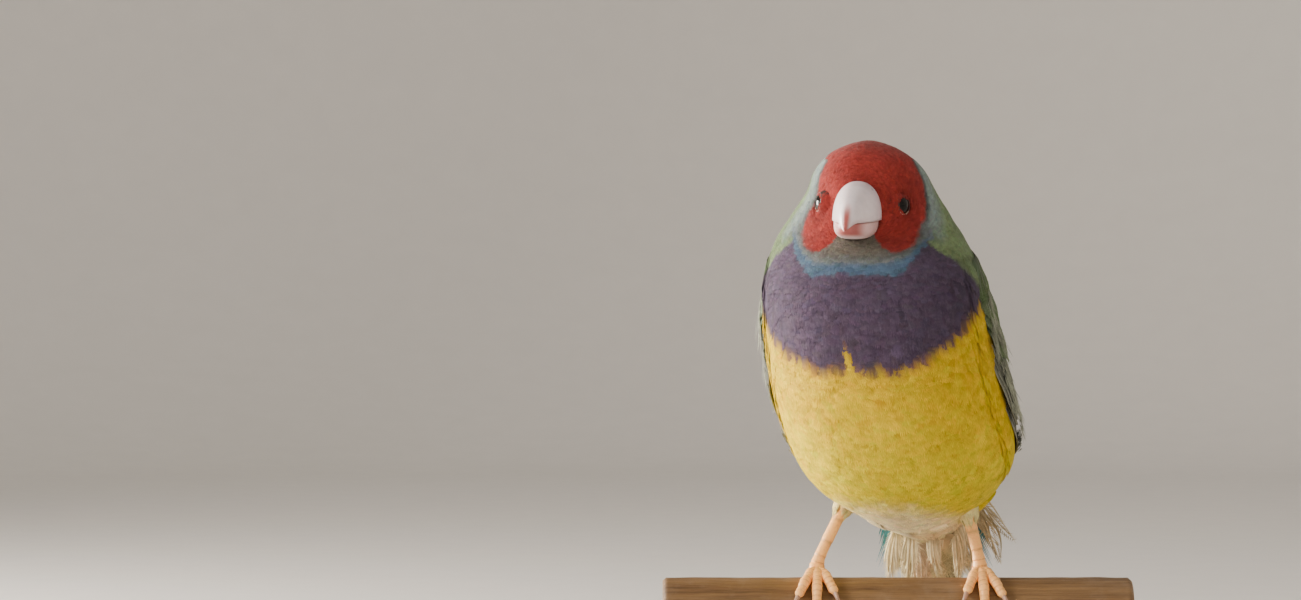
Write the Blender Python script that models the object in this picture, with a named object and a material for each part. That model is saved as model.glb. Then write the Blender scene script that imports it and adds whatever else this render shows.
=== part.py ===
"""A male gouldian finch perched on a cut length of wooden dowel, life size, on a plain display stand.

The bird is shaped in its own upright frame, in millimetres: x to its left, f forward to its
breast and z up from the top of the perch. pose() leans and turns it into the model's frame,
metres with +Z up, where the perch runs along X and the middle of the base's underside is the origin.
"""

import math
import random
from collections import namedtuple

import bmesh
import bpy
import numpy as np

MM = 0.001
GAP = 0.3

# Stand and perch, in millimetres
BASE_LENGTH = 96.0
BASE_DEPTH = 84.0
BASE_HEIGHT = 6.0
BASE_CORNER = 14.0
BASE_EDGE = 1.2
TAIL_CLEARANCE = 3.0
PERCH_RADIUS = 6.0
PERCH_LENGTH = 90.0
PERCH_EDGE = 0.7
PERCH_Y = -9.0
ROD_RADIUS = 2.0
ROD_REACH = 36.0

# Tail, from a root inside the rump. Pairs of its feathers are counted from the middle outwards.
TAIL_ROOT = (0.0, -19.0, 11.5)
TAIL_SLOPE = math.radians(65.0)
TAIL_LENGTHS = (55.0, 42.0, 40.5, 39.0, 37.0, 35.0)
TAIL_WIDTHS = (4.0, 4.6, 4.6, 4.4, 4.2, 4.0)
TAIL_STEP = 0.36
TAIL_SPREAD = 0.95

# The rods are just long enough for the tail's tip to clear the base
PERCH_TOP = BASE_HEIGHT + TAIL_CLEARANCE + TAIL_LENGTHS[0] * math.sin(TAIL_SLOPE) - TAIL_ROOT[2]
PERCH_Z = PERCH_TOP - PERCH_RADIUS

# How the bird stands: turned on the perch, leaning sideways from its hips to its shoulders, and with
# its head turned a little further and rolled
TURN = math.radians(-16.5)
LEAN_HIPS = 2.0
LEAN_HEAD = -3.4
LEAN_FROM = 8.0
LEAN_TO = 68.0
HEAD_TURN = math.radians(2.0)
HEAD_ROLL = math.radians(2.5)
HEAD_FROM = 58.0
HEAD_TO = 70.0
HEAD_AXIS = 8.0

# Head parts
EYE_RADIUS = 2.9
EYE_SUNK = 2.15
EYE_STATION = 10.95
EYE_ANGLE = math.radians(43.0)
LID_WIDTH = 0.55
BILL_LENGTH = 11.4
BILL_WIDTH = 9.1
BILL_DROP = math.radians(6.0)
BILL_ROOT = (19.6, 70.5)

# Where thin cuts part the body, in stations of BODY
TAIL_CUT = 2.1
NECK_CUT = 8.3
HEAD_CUT = 10.15

Section = namedtuple("Section", "front back half_width widest pinch")
Finish = namedtuple("Finish", "colour roughness metallic")

# Slices of the body from the tail root to the crown. Each lies between a point on the belly side
# and one on the back, as (forward, up), and has its half width, the share of the way back where it
# is widest, and how much it narrows to the front.
BODY = (
    Section((-23.5, 5.5), (-23.5, 5.5), 0.0, 0.5, 1.0),
    Section((-17.5, 5.2), (-25.8, 11.0), 5.2, 0.5, 1.0),
    Section((-10.8, 7.4), (-24.2, 18.5), 9.8, 0.55, 1.3),
    Section((0.0, 9.0), (-21.8, 27.0), 16.4, 0.55, 1.3),
    Section((12.5, 13.4), (-19.3, 35.0), 20.6, 0.5, 1.05),
    Section((22.0, 22.5), (-16.8, 42.5), 21.6, 0.5, 0.9),
    Section((27.3, 34.5), (-14.0, 49.5), 21.5, 0.5, 0.9),
    Section((28.5, 46.0), (-11.2, 56.0), 20.9, 0.52, 0.9),
    Section((27.0, 54.5), (-8.8, 61.5), 20.3, 0.52, 0.95),
    Section((23.4, 61.0), (-6.6, 66.8), 18.5, 0.54, 1.05),
    Section((20.8, 65.8), (-4.2, 71.2), 15.5, 0.58, 1.25),
    Section((21.2, 71.0), (-1.9, 75.3), 12.5, 0.62, 1.4),
    Section((20.0, 76.6), (1.8, 79.2), 10.2, 0.58, 1.15),
    Section((17.0, 80.9), (5.4, 82.0), 6.5, 0.5, 1.0),
    Section((11.2, 83.4), (11.2, 83.4), 0.0, 0.5, 1.0),
)
CROWN = len(BODY) - 1

FINISHES = {
    "red_plumage": Finish((0.36, 0.035, 0.03), 0.75, 0.0),
    "turquoise_plumage": Finish((0.12, 0.34, 0.42), 0.75, 0.0),
    "yellow_plumage": Finish((0.75, 0.52, 0.04), 0.75, 0.0),
    "green_plumage": Finish((0.14, 0.27, 0.08), 0.7, 0.0),
    "black_plumage": Finish((0.02, 0.02, 0.025), 0.6, 0.0),
    "pale_plumage": Finish((0.78, 0.74, 0.6), 0.8, 0.0),
    "ivory_horn": Finish((0.82, 0.74, 0.68), 0.35, 0.0),
    "dark_eye": Finish((0.02, 0.012, 0.01), 0.05, 0.0),
    "flesh_skin": Finish((0.7, 0.36, 0.22), 0.5, 0.0),
    "pale_claw": Finish((0.5, 0.36, 0.28), 0.35, 0.0),
    "perch_wood": Finish((0.42, 0.28, 0.15), 0.7, 0.0),
    "stand_steel": Finish((0.55, 0.55, 0.55), 0.35, 1.0),
    "stand_wood": Finish((0.09, 0.05, 0.03), 0.45, 0.0),
}


def clear_scene():
    for old in list(bpy.data.objects):
        bpy.data.objects.remove(old)


def finish(name):
    """The material of that name, made the first time it is asked for."""
    made = bpy.data.materials.get(name)
    if made:
        return made
    made = bpy.data.materials.new(name)
    made.use_nodes = True
    shader = made.node_tree.nodes["Principled BSDF"]
    shader.inputs["Base Color"].default_value = (*FINISHES[name].colour, 1.0)
    shader.inputs["Roughness"].default_value = FINISHES[name].roughness
    shader.inputs["Metallic"].default_value = FINISHES[name].metallic
    return made


def smoothstep(share):
    share = np.clip(share, 0.0, 1.0)
    return share * share * (3.0 - 2.0 * share)


def pose(points):
    """Bird points (x, f, z) in millimetres, with the head set, leaned, turned and set over the perch."""
    points = np.asarray(points, float)
    x, forward, z = points[..., 0], points[..., 1], points[..., 2]
    head = smoothstep((z - HEAD_FROM) / (HEAD_TO - HEAD_FROM))
    x, forward, z = (
        x + head * (HEAD_TURN * (forward - HEAD_AXIS) + HEAD_ROLL * (z - HEAD_TO)),
        forward - head * HEAD_TURN * x,
        z - head * HEAD_ROLL * x,
    )
    lean = LEAN_HIPS + (LEAN_HEAD - LEAN_HIPS) * smoothstep((z - LEAN_FROM) / (LEAN_TO - LEAN_FROM))
    side = x + lean
    back = -forward
    return np.stack(
        [
            math.cos(TURN) * side - math.sin(TURN) * back,
            math.sin(TURN) * side + math.cos(TURN) * back + PERCH_Y,
            z + PERCH_TOP,
        ],
        axis=-1,
    )


def spline(knots, values, at):
    """A smooth curve through values at knots, read at the given places."""
    at = np.asarray(at, float)
    slopes = np.empty_like(values)
    slopes[1:-1] = (values[2:] - values[:-2]) / (knots[2:] - knots[:-2])[:, None]
    slopes[0] = slopes[1]
    slopes[-1] = slopes[-2]
    cell = np.clip(np.searchsorted(knots, at, side="right") - 1, 0, len(knots) - 2)
    width = (knots[cell + 1] - knots[cell])[..., None]
    share = ((at - knots[cell])[..., None]) / width
    h00 = 2 * share**3 - 3 * share**2 + 1
    h10 = share**3 - 2 * share**2 + share
    return (
        h00 * values[cell]
        + h10 * width * slopes[cell]
        + (1 - h00) * values[cell + 1]
        + (share**3 - share**2) * width * slopes[cell + 1]
    )


class Loft:
    """A closed form through sections. Stations count along it, and angles turn from its front to its left."""

    def __init__(self, sections):
        rows = [(*s.front, *s.back, s.half_width, s.widest, s.pinch) for s in sections]
        rows = np.array(rows, float)
        # Past each pole the form goes on as its own mirror image, so that it closes in a smooth dome.
        flip = [2, 3, 0, 1, 4, 5, 6]
        before = rows[1][flip] * [1, 1, 1, 1, -1, 1, 1]
        after = rows[-2][flip] * [1, 1, 1, 1, -1, 1, 1]
        self.rows = np.vstack([before, rows, after])
        self.stations = np.arange(-1.0, len(sections) + 1.0)

    def point(self, station, angle):
        row = spline(self.stations, self.rows, station)
        front, back, half_width = row[..., 0:2], row[..., 2:4], row[..., 4]
        widest, pinch = row[..., 5:6], row[..., 6]
        middle = front + (back - front) * widest
        cosine = np.cos(angle)[..., None]
        reach = np.where(cosine > 0, front - middle, middle - back)
        along = middle + reach * cosine
        sine = np.sin(angle)
        power = np.where(np.cos(angle) > 0, pinch, 1.0)
        x = half_width * np.sign(sine) * np.abs(sine) ** power
        return np.concatenate([x[..., None], along], axis=-1)

    def normal(self, station, angle):
        step = 0.02
        low = np.clip(station - step, 0.02, None)
        high = np.clip(station + step, None, self.stations[-2] - 0.02)
        along = self.point(high, angle) - self.point(low, angle)
        around = self.point(station, angle + step) - self.point(station, angle - step)
        outward = np.cross(along, around)
        length = np.linalg.norm(outward, axis=-1, keepdims=True)
        return outward / np.maximum(length, 1e-9)

    def centre(self, station):
        row = spline(self.stations, self.rows, station)
        return np.concatenate([np.zeros_like(row[..., :1]), (row[..., 0:2] + row[..., 2:4]) / 2], axis=-1)

    def offset(self, station, angle, out):
        """A surface point moved out along the normal."""
        station, angle = np.broadcast_arrays(np.asarray(station, float), np.asarray(angle, float))
        return self.point(station, angle) + self.normal(station, angle) * np.asarray(out)[..., None]


body = Loft(BODY)


def ring_bmesh(rings, first_pole, last_pole, alike=False):
    """A closed mesh: a UV sphere whose rings and poles are moved onto the given points.

    With alike, a flat form's two faces are split into triangles the same way.
    """
    count, around = rings.shape[:2]
    mesh = bmesh.new()
    bmesh.ops.create_uvsphere(mesh, u_segments=around, v_segments=count + 1, radius=1.0)
    place = {}
    for vert in mesh.verts:
        row = round(math.acos(max(-1.0, min(1.0, vert.co.z))) / math.pi * (count + 1))
        column = round((math.atan2(vert.co.y, vert.co.x) / math.tau - 0.25) * around) % around
        place[vert] = (row, column)
        if row == 0:
            vert.co = first_pole
        elif row == count + 1:
            vert.co = last_pole
        else:
            vert.co = rings[row - 1, column]
    if alike:
        half = around // 2
        for face in [f for f in mesh.faces if len(f.verts) == 4]:
            columns = {place[v][1] for v in face.verts}
            first = around - 1 if columns == {0, around - 1} else min(columns)
            rising = first < half - 1 or first == around - 1
            low_row = min(place[v][0] for v in face.verts)
            start = first if rising else (first + 1) % around
            a = next(v for v in face.verts if place[v] == (low_row, start))
            b = next(v for v in face.verts if place[v][0] != low_row and place[v][1] != start)
            bmesh.utils.face_split(face, a, b)
    return mesh


def add_object(name, mesh, material, posed=True):
    """Makes an object of a closed bmesh in millimetres. The bird's are posed first, the stand's aren't."""
    for vert in mesh.verts:
        vert.co = (pose(vert.co) if posed else np.array(vert.co)) * MM
    if mesh.calc_volume(signed=True) < 0:
        bmesh.ops.reverse_faces(mesh, faces=mesh.faces[:])
    data = bpy.data.meshes.new(name)
    mesh.to_mesh(data)
    mesh.free()
    data.materials.append(finish(material))
    made = bpy.data.objects.new(name, data)
    bpy.context.scene.collection.objects.link(made)
    return made


def shade(made):
    made.data.shade_smooth()
    made.data.set_sharp_from_angle(angle=math.radians(40))


def keep_largest(made):
    """Drops every closed surface of the object but its largest."""
    mesh = bmesh.new()
    mesh.from_mesh(made.data)
    unseen = set(mesh.faces)
    surfaces = []
    while unseen:
        reached = [unseen.pop()]
        found = []
        while reached:
            face = reached.pop()
            found.append(face)
            for near in {f for edge in face.edges for f in edge.link_faces} & unseen:
                unseen.discard(near)
                reached.append(near)
        surfaces.append(found)
    spans = []
    for found in surfaces:
        corners = np.array([v.co for face in found for v in face.verts])
        spans.append(np.prod(np.ptp(corners, axis=0)))
    largest = surfaces[int(np.argmax(spans))]
    loose = [face for found in surfaces if found is not largest for face in found]
    bmesh.ops.delete(mesh, geom=loose, context="FACES")
    mesh.to_mesh(made.data)
    mesh.free()


def combine(made, operation, tools, solver="EXACT"):
    """Joins the closed tools to an object, or cuts it by them, and removes the tools."""
    group = bpy.data.collections.new(made.name + "_tools")
    bpy.context.scene.collection.children.link(group)
    for tool in tools:
        bpy.context.scene.collection.objects.unlink(tool)
        group.objects.link(tool)
    modifier = made.modifiers.new("combine", "BOOLEAN")
    modifier.operation = operation
    modifier.operand_type = "COLLECTION"
    modifier.collection = group
    modifier.solver = solver
    graph = bpy.context.evaluated_depsgraph_get()
    combined = bpy.data.meshes.new_from_object(made.evaluated_get(graph))
    made.modifiers.clear()
    made.data = combined
    for tool in tools:
        bpy.data.objects.remove(tool)
    bpy.data.collections.remove(group)
    keep_largest(made)
    shade(made)
    return made


def body_mesh(start, end, along, around, out=0.0):
    """The part of the body between two stations, closed by flat ends or by its own poles."""
    last = CROWN
    first_open = start > 0.0
    last_open = end < last
    rows = np.linspace(start, end, along + (not first_open) + (not last_open))
    rows = rows[(0 if first_open else 1) : (None if last_open else -1)]
    angles = np.arange(around) * math.tau / around
    rings = body.offset(rows[:, None], angles[None, :], out)
    poles = [body.centre(np.array(at)) for at in (start, end)]
    if not first_open:
        poles[0] = poles[0] + np.array([0.0, -0.5, -0.866]) * out
    if not last_open:
        poles[1] = poles[1] + np.array([0.0, 0.0, 1.0]) * out
    return ring_bmesh(rings, *poles)


def gapped(station, side):
    """A station half a gap to one side of a cut."""
    span = np.linalg.norm(body.centre(np.array(station + 0.5)) - body.centre(np.array(station - 0.5)))
    return station + side * GAP / 2 / span


def tube_rings(path, across, height, up, around):
    """Rings of an oval tube along path. Each ring starts on the side that up points to."""
    path = np.asarray(path, float)
    tangent = np.gradient(path, axis=0)
    tangent /= np.linalg.norm(tangent, axis=1, keepdims=True)
    side = np.cross(tangent, up)
    side /= np.linalg.norm(side, axis=1, keepdims=True)
    top = np.cross(side, tangent)
    angles = np.arange(around) * math.tau / around
    across = np.broadcast_to(across, len(path))[:, None, None]
    height = np.broadcast_to(height, len(path))[:, None, None]
    return (
        path[:, None, :]
        + top[:, None, :] * height * np.cos(angles)[None, :, None]
        + side[:, None, :] * across * np.sin(angles)[None, :, None]
    )


def ball(centre, radius, around=16):
    """A sphere at a bird point, made before posing."""
    mesh = bmesh.new()
    bmesh.ops.create_uvsphere(mesh, u_segments=around, v_segments=around // 2, radius=radius)
    for vert in mesh.verts:
        vert.co = np.array(vert.co) + centre
    return mesh


# Torso, neck and head
def make_trunk():
    torso = body_mesh(gapped(TAIL_CUT, 1), gapped(NECK_CUT, -1), 18, 32)
    neck = body_mesh(gapped(NECK_CUT, 1), gapped(HEAD_CUT, -1), 6, 32)
    shade(add_object("torso", torso, "yellow_plumage"))
    shade(add_object("neck", neck, "turquoise_plumage"))


def body_cutter(name, start=0.0):
    """The body above a station, a gap larger all round."""
    cutter = add_object(name, body_mesh(start, CROWN, 40, 40, GAP), "green_plumage")
    cutter.hide_render = True
    cutter.display_type = "WIRE"
    return cutter


def eye_seat(side):
    """Where an eye sits: its centre, and the direction it looks."""
    station, angle = np.array(EYE_STATION), np.array(side * EYE_ANGLE)
    outward = body.normal(station, angle)
    return body.point(station, angle) - outward * EYE_SUNK, outward


def lid_ring(side):
    """The ring of lid round an eye, as a tube laid round the eyeball where it leaves the head."""
    centre, outward = eye_seat(side)
    upward = np.array([0.0, 0.0, 1.0]) - outward * outward[2]
    upward /= np.linalg.norm(upward)
    forward = np.cross(upward, outward)
    radius = math.sqrt(EYE_RADIUS**2 - EYE_SUNK**2) + LID_WIDTH * 0.75
    mesh = bmesh.new()
    around, count = 5, 16
    turns = np.arange(count) * math.tau / count
    rim = []
    for turn in turns:
        out = math.cos(turn) * forward + math.sin(turn) * upward
        middle = centre + out * radius + outward * (EYE_SUNK + 0.1)
        rim.append([
            mesh.verts.new(middle + (out * math.cos(a) + outward * math.sin(a)) * LID_WIDTH)
            for a in np.arange(around) * math.tau / around
        ])
    for i in range(count):
        for k in range(around):
            mesh.faces.new((
                rim[i][k],
                rim[(i + 1) % count][k],
                rim[(i + 1) % count][(k + 1) % around],
                rim[i][(k + 1) % around],
            ))
    return mesh


def make_head():
    head = add_object("head", body_mesh(gapped(HEAD_CUT, 1), CROWN, 12, 36), "red_plumage")
    lids = [add_object(f"lid_{side}", lid_ring(side), "red_plumage") for side in (1, -1)]
    combine(head, "UNION", lids)
    sockets = []
    for side in (1, -1):
        centre, _ = eye_seat(side)
        sockets.append(add_object(f"socket_{side}", ball(centre, EYE_RADIUS + GAP), "red_plumage"))
    combine(head, "DIFFERENCE", sockets)
    for side, name in ((1, "eye_left"), (-1, "eye_right")):
        centre, _ = eye_seat(side)
        shade(add_object(name, ball(centre, EYE_RADIUS), "dark_eye"))


# Bill
def bill_point(along, x, rise):
    """A point of the bill, from its length along the bill, its side and its height over the mouth line."""
    forward, z = BILL_ROOT
    return np.stack(
        [
            x,
            forward + along * math.cos(BILL_DROP) + rise * math.sin(BILL_DROP),
            z - along * math.sin(BILL_DROP) + rise * math.cos(BILL_DROP),
        ],
        axis=-1,
    )


MOUTH_RISE = -2.1
UPPER_RISE = 7.1
LOWER_DROP = 3.4
LOWER_LENGTH = 9.2
LOWER_WIDTH = 8.0
TIP_HOOK = 1.45
HOOK_FROM = 0.8
# How square the sections of each half are, and how long its width and its depth stay full
UPPER_ROUNDNESS = 0.88
UPPER_FULLNESS = (1.8, 2.1)
LOWER_ROUNDNESS = 0.66
LOWER_FULLNESS = (2.8, 3.4)
BILL_SUNK = 4.0
NOSTRIL_RADIUS = 0.6
NOSTRIL_PLACE = (2.3, 2.6, 3.95)


def half_bill(length, width, depth, upward, edge, hook, roundness, fullness):
    """One mandible: domed sections on a flat mouth side, closing at its tip, which may hook down."""
    across, rows = 16, 9
    shares = 1.0 - (1.0 - np.linspace(0.0, 1.0, rows + 1)[:-1]) ** 1.6
    rings = []
    for share in np.concatenate([[-BILL_SUNK / length], shares]):
        ahead = max(share, 0.0)
        half = width / 2 * (1.0 - ahead ** fullness[0]) ** 0.8
        tall = depth * (1.0 - ahead ** fullness[1]) ** 0.72
        dip = hook * max(0.0, (ahead - HOOK_FROM) / (1.0 - HOOK_FROM)) ** 1.3
        turns = np.linspace(0.0, math.pi, across - 4)
        x = half * np.sign(np.cos(turns)) * np.abs(np.cos(turns)) ** roundness
        rise = edge + upward * tall * np.abs(np.sin(turns)) ** roundness
        flat = np.linspace(-half, half, 6)[1:-1]
        x = np.concatenate([x, flat])
        rise = np.concatenate([rise, np.full(4, edge)])
        rings.append(bill_point(np.full(across, share * length), x, rise - dip))
    root = bill_point(-BILL_SUNK, 0.0, edge + upward * depth * 0.4)
    tip = bill_point(length, 0.0, edge + upward * 0.1 - hook)
    return ring_bmesh(np.array(rings), root, tip)


def nostril_pits():
    along, x, rise = NOSTRIL_PLACE
    pits = [ball(bill_point(along, side * x, rise), NOSTRIL_RADIUS, 8) for side in (1, -1)]
    return [add_object("nostril", pit, "ivory_horn") for pit in pits]


def make_bill():
    upper = half_bill(
        BILL_LENGTH, BILL_WIDTH, UPPER_RISE, 1, MOUTH_RISE, TIP_HOOK, UPPER_ROUNDNESS, UPPER_FULLNESS
    )
    lower = half_bill(
        LOWER_LENGTH, LOWER_WIDTH, LOWER_DROP, -1, MOUTH_RISE - GAP, 0.0, LOWER_ROUNDNESS, LOWER_FULLNESS
    )
    upper = add_object("bill_upper", upper, "ivory_horn")
    combine(upper, "DIFFERENCE", [body_cutter("face_of_upper")])
    combine(upper, "DIFFERENCE", nostril_pits())
    combine(add_object("bill_lower", lower, "ivory_horn"), "DIFFERENCE", [body_cutter("face_of_lower")])


# Wings: a sheet laid over the flank. Rows run from the wrist to the tip, and each has three places
# from the leading edge to the back, as (station, angle in degrees, out) on the body.
WING_ROWS = (
    ((8.15, 86, 0.3), (8.35, 106, 0.5), (8.5, 132, 0.3)),
    ((6.6, 82, 0.5), (6.9, 112, 0.8), (7.4, 151, 0.5)),
    ((5.35, 84, 0.8), (5.5, 122, 1.0), (5.9, 164, 0.6)),
    ((4.0, 93, 1.2), (4.1, 133, 1.2), (4.4, 170, 0.7)),
    ((2.7, 110, 1.6), (2.8, 146, 1.3), (3.0, 173, 0.9)),
)
WING_TIP = ((6.6, -29.2, 6.0), (5.2, -30.6, 5.8), (3.4, -31.4, 6.4))
VANE_THICKNESS = 0.55
QUILL_RISE = 0.12

# One tier of the wing's feathers: how many, the first and last root and tip as (along, across),
# half width in millimetres, height over the sheet at the first and last tip, and how pointed it is
Tier = namedtuple("Tier", "count roots tips half_width heights point")
PRIMARIES = Tier(6, ((0.40, 0.03), (0.40, 0.38)), ((1.00, 0.20), (0.82, 0.70)), 2.2, (0.1, 0.5), 2.4)
SECONDARIES = Tier(5, ((0.38, 0.38), (0.38, 0.70)), ((0.79, 0.52), (0.76, 0.84)), 2.8, (0.5, 0.8), 3.5)
TERTIALS = Tier(3, ((0.36, 0.70), (0.34, 0.90)), ((0.73, 0.72), (0.60, 0.90)), 3.5, (1.0, 1.3), 3.5)
PRIMARY_COVERTS = Tier(3, ((0.26, 0.04), (0.28, 0.24)), ((0.50, 0.04), (0.49, 0.22)), 1.9, (0.6, 0.8), 3.0)
GREATER_COVERTS = Tier(7, ((0.24, 0.22), (0.24, 0.93)), ((0.48, 0.27), (0.45, 0.94)), 2.5, (0.9, 1.3), 3.5)
MEDIAN_COVERTS = Tier(6, ((0.13, 0.10), (0.13, 0.92)), ((0.32, 0.12), (0.31, 0.94)), 2.6, (1.0, 1.3), 3.0)
LESSER_COVERTS = Tier(4, ((0.02, 0.14), (0.02, 0.88)), ((0.20, 0.12), (0.20, 0.92)), 3.0, (0.9, 1.2), 2.6)
WING_TIERS = {
    "primaries": PRIMARIES,
    "secondaries": SECONDARIES,
    "tertials": TERTIALS,
    "primary_coverts": PRIMARY_COVERTS,
    "greater_coverts": GREATER_COVERTS,
    "median_coverts": MEDIAN_COVERTS,
    "lesser_coverts": LESSER_COVERTS,
}


def wing_controls():
    rows = []
    for row in WING_ROWS:
        rows.append([body.offset(s, math.radians(a), out) for s, a, out in row])
    rows.append([np.array(point) for point in WING_TIP])
    return np.array(rows)


WING = wing_controls()
WING_KNOTS = np.linspace(0.0, 1.0, len(WING))


def wing_place(along, across):
    """A point of the left wing's sheet. along is 0 at the wrist and 1 at the tip, across 1 at the back."""
    along, across = np.broadcast_arrays(np.asarray(along, float), np.asarray(across, float))
    flat = WING.reshape(len(WING), -1)
    row = spline(WING_KNOTS, flat, along).reshape(*along.shape, 3, 3)
    q = across[..., None]
    lead, middle, rear = row[..., 0, :], row[..., 1, :], row[..., 2, :]
    return lead * (1 - q) * (1 - 2 * q) + middle * 4 * q * (1 - q) + rear * q * (2 * q - 1)


def wing_point(along, across, height):
    """A point at a height in millimetres over the left wing's sheet."""
    step = 0.01
    length = wing_place(along + step, across) - wing_place(along - step, across)
    width = wing_place(along, across + step) - wing_place(along, across - step)
    outward = np.cross(length, width)
    outward /= np.linalg.norm(outward, axis=-1, keepdims=True)
    return wing_place(along, across) - outward * np.asarray(height)[..., None]


def tail_point(along, across, height):
    """A point of the tail, in millimetres: along it, to the bird's left, and over its upper side."""
    along, across, height = np.broadcast_arrays(along, across, height)
    root = np.array(TAIL_ROOT)
    down = np.array([0.0, -math.cos(TAIL_SLOPE), -math.sin(TAIL_SLOPE)])
    up = np.array([0.0, -math.sin(TAIL_SLOPE), math.cos(TAIL_SLOPE)])
    left = np.array([1.0, 0.0, 0.0])
    return root + along[..., None] * down + across[..., None] * left + height[..., None] * up


def vane_rings(place, root, tip, half_width, heights, point, tilt=0.0, rows=5, bow=0.0):
    """The rings of one flat feather, laid by place(along, across, height) from its sunk root to its tip.

    A higher point keeps the feather broad nearer to its tip. tilt raises its leading edge, and bow
    bends its middle sideways.
    """
    shares = 1.0 - (1.0 - np.linspace(0.0, 1.0, rows + 1)[:-1]) ** 1.5
    rings = []
    step = 1e-3
    for share in shares:
        along = root[0] + (tip[0] - root[0]) * share
        across = root[1] + (tip[1] - root[1]) * share + bow * math.sin(math.pi * share)
        span = place(along, across + step, 0.0) - place(along, across - step, 0.0)
        millimetre = 2 * step / np.linalg.norm(span)
        half = half_width * (0.62 + 0.38 * min(1.0, share / 0.35)) * (1.0 - share**point) ** 0.75
        half = max(half, 0.3)
        height = heights[0] + (heights[1] - heights[0]) * smoothstep(share / 0.6)
        thin = VANE_THICKNESS * (1.0 - 0.35 * share**6)
        u = np.array([-1.0, 0.0, 1.0, 1.0, 0.0, -1.0])
        top = height - tilt * u + QUILL_RISE * np.array([0.0, 1.0, 0.0, 0.0, 1.0, 0.0])
        lift = top - thin * np.array([0.0, 0.0, 0.0, 1.0, 1.0, 1.0])
        rings.append(place(np.full(6, along), across + u * half * millimetre, lift))
    rings = np.array(rings)
    end = place(tip[0], tip[1], heights[1] - VANE_THICKNESS / 2)
    return rings, rings[0].mean(0), end


def mirrored(points, side):
    return points * np.array([side, 1.0, 1.0])


def vane(name, side, material, *args, **kwargs):
    rings, root, tip = vane_rings(*args, **kwargs)
    mesh = ring_bmesh(mirrored(rings, side), mirrored(root, side), mirrored(tip, side), alike=True)
    return add_object(name, mesh, material)


def wing_core(side):
    """The flesh of the folded wing, under its feathers."""
    rings = []
    for along in np.linspace(0.0, 0.78, 13):
        wide = math.sqrt(max(0.0, 1 - (1 - min(along / 0.14, 1.0)) ** 2)) * 0.46 + 0.04
        wide *= 1.0 - 0.25 * along
        q = 0.52 + np.linspace(-wide, wide, 7)
        top = wing_point(np.full(7, along), q, 0.55 * np.cos(np.linspace(-1.3, 1.3, 7)))
        under = wing_point(np.full(5, along), q[-2:0:-1], np.full(5, -2.2 * (1 - along) - 0.3))
        rings.append(mirrored(np.concatenate([top, under]), side))
    rings = np.array(rings)
    return ring_bmesh(rings, rings[0].mean(0), mirrored(wing_point(0.8, 0.5, 0.1), side))


def tier_vanes(name, tier, side, draw):
    """The feathers of one tier, evenly spaced from its first to its last, with small seeded differences."""
    made = []
    for i in range(tier.count):
        share = i / (tier.count - 1)
        root = [a + (b - a) * share for a, b in zip(*tier.roots)]
        tip = [a + (b - a) * share for a, b in zip(*tier.tips)]
        tip[0] += draw.uniform(-0.006, 0.006)
        height = tier.heights[0] + (tier.heights[1] - tier.heights[0]) * share
        made.append(vane(
            f"{name}_{i}", side, "green_plumage", wing_point, root, tip,
            tier.half_width * draw.uniform(0.95, 1.05), (-0.7, height), tier.point,
            tilt=0.22, rows=4 if tip[0] - root[0] > 0.3 else 3,
        ))
    return made


def make_wings():
    draw = random.Random(3)
    for side, name in ((1, "wing_left"), (-1, "wing_right")):
        wing = add_object(name, wing_core(side), "green_plumage")
        vanes = [made for kind, tier in WING_TIERS.items() for made in tier_vanes(kind, tier, side, draw)]
        combine(wing, "UNION", vanes)
        # The exact solver loses most of the wing here
        combine(wing, "DIFFERENCE", [body_cutter(name + "_bed")], solver="MANIFOLD")


# Tail
# Loose vent and under-tail plumes, as on the moulting bird: where each is rooted and ends, in bird
# millimetres, its half width and its sideways bow
Plume = namedtuple("Plume", "root tip half_width bow")
PLUMES = (
    Plume((-5.5, -14.0, 10.0), (-8.6, -11.5, -1.6), 1.9, -0.4),
    Plume((-2.5, -15.0, 10.0), (-4.4, -12.5, -1.8), 2.0, 0.2),
    Plume((1.0, -16.0, 10.0), (0.6, -15.5, -0.5), 1.7, 0.5),
    Plume((4.0, -15.5, 10.5), (5.2, -15.0, 0.6), 1.6, -0.5),
    Plume((6.5, -17.0, 12.0), (9.0, -17.5, -0.8), 1.8, 0.8),
    Plume((7.5, -18.5, 15.0), (13.2, -20.5, 1.6), 1.5, -0.9),
    Plume((8.5, -18.0, 17.0), (16.4, -20.0, 6.0), 1.3, 0.7),
)
COVERT_COUNT = 7


def plume_mesh(plume):
    """A soft plume hanging from the vent, flat towards the front and curling a little."""
    shares = 1.0 - (1.0 - np.linspace(0.0, 1.0, 5)[:-1]) ** 1.4
    root, tip = np.array(plume.root), np.array(plume.tip)
    path = root + (tip - root) * shares[:, None]
    path[:, 0] += plume.bow * np.sin(math.pi * shares)
    path[:, 1] += 1.2 * np.sin(math.pi * shares)
    half = plume.half_width * (0.6 + 0.4 * np.minimum(1.0, shares / 0.4)) * (1.0 - shares**2.6) ** 0.8
    u = np.array([-1.0, 0.0, 1.0, 1.0, 0.0, -1.0])
    lift = np.array([0.0, QUILL_RISE, 0.0, -VANE_THICKNESS, QUILL_RISE - VANE_THICKNESS, -VANE_THICKNESS])
    rings = path[:, None, :] + half[:, None, None] * u[None, :, None] * np.array([1.0, 0.0, 0.0])
    rings += lift[None, :, None] * np.array([0.0, 1.0, 0.0])
    return ring_bmesh(rings, rings[0].mean(0), tip - np.array([0.0, VANE_THICKNESS / 2, 0.0]), alike=True)


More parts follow.
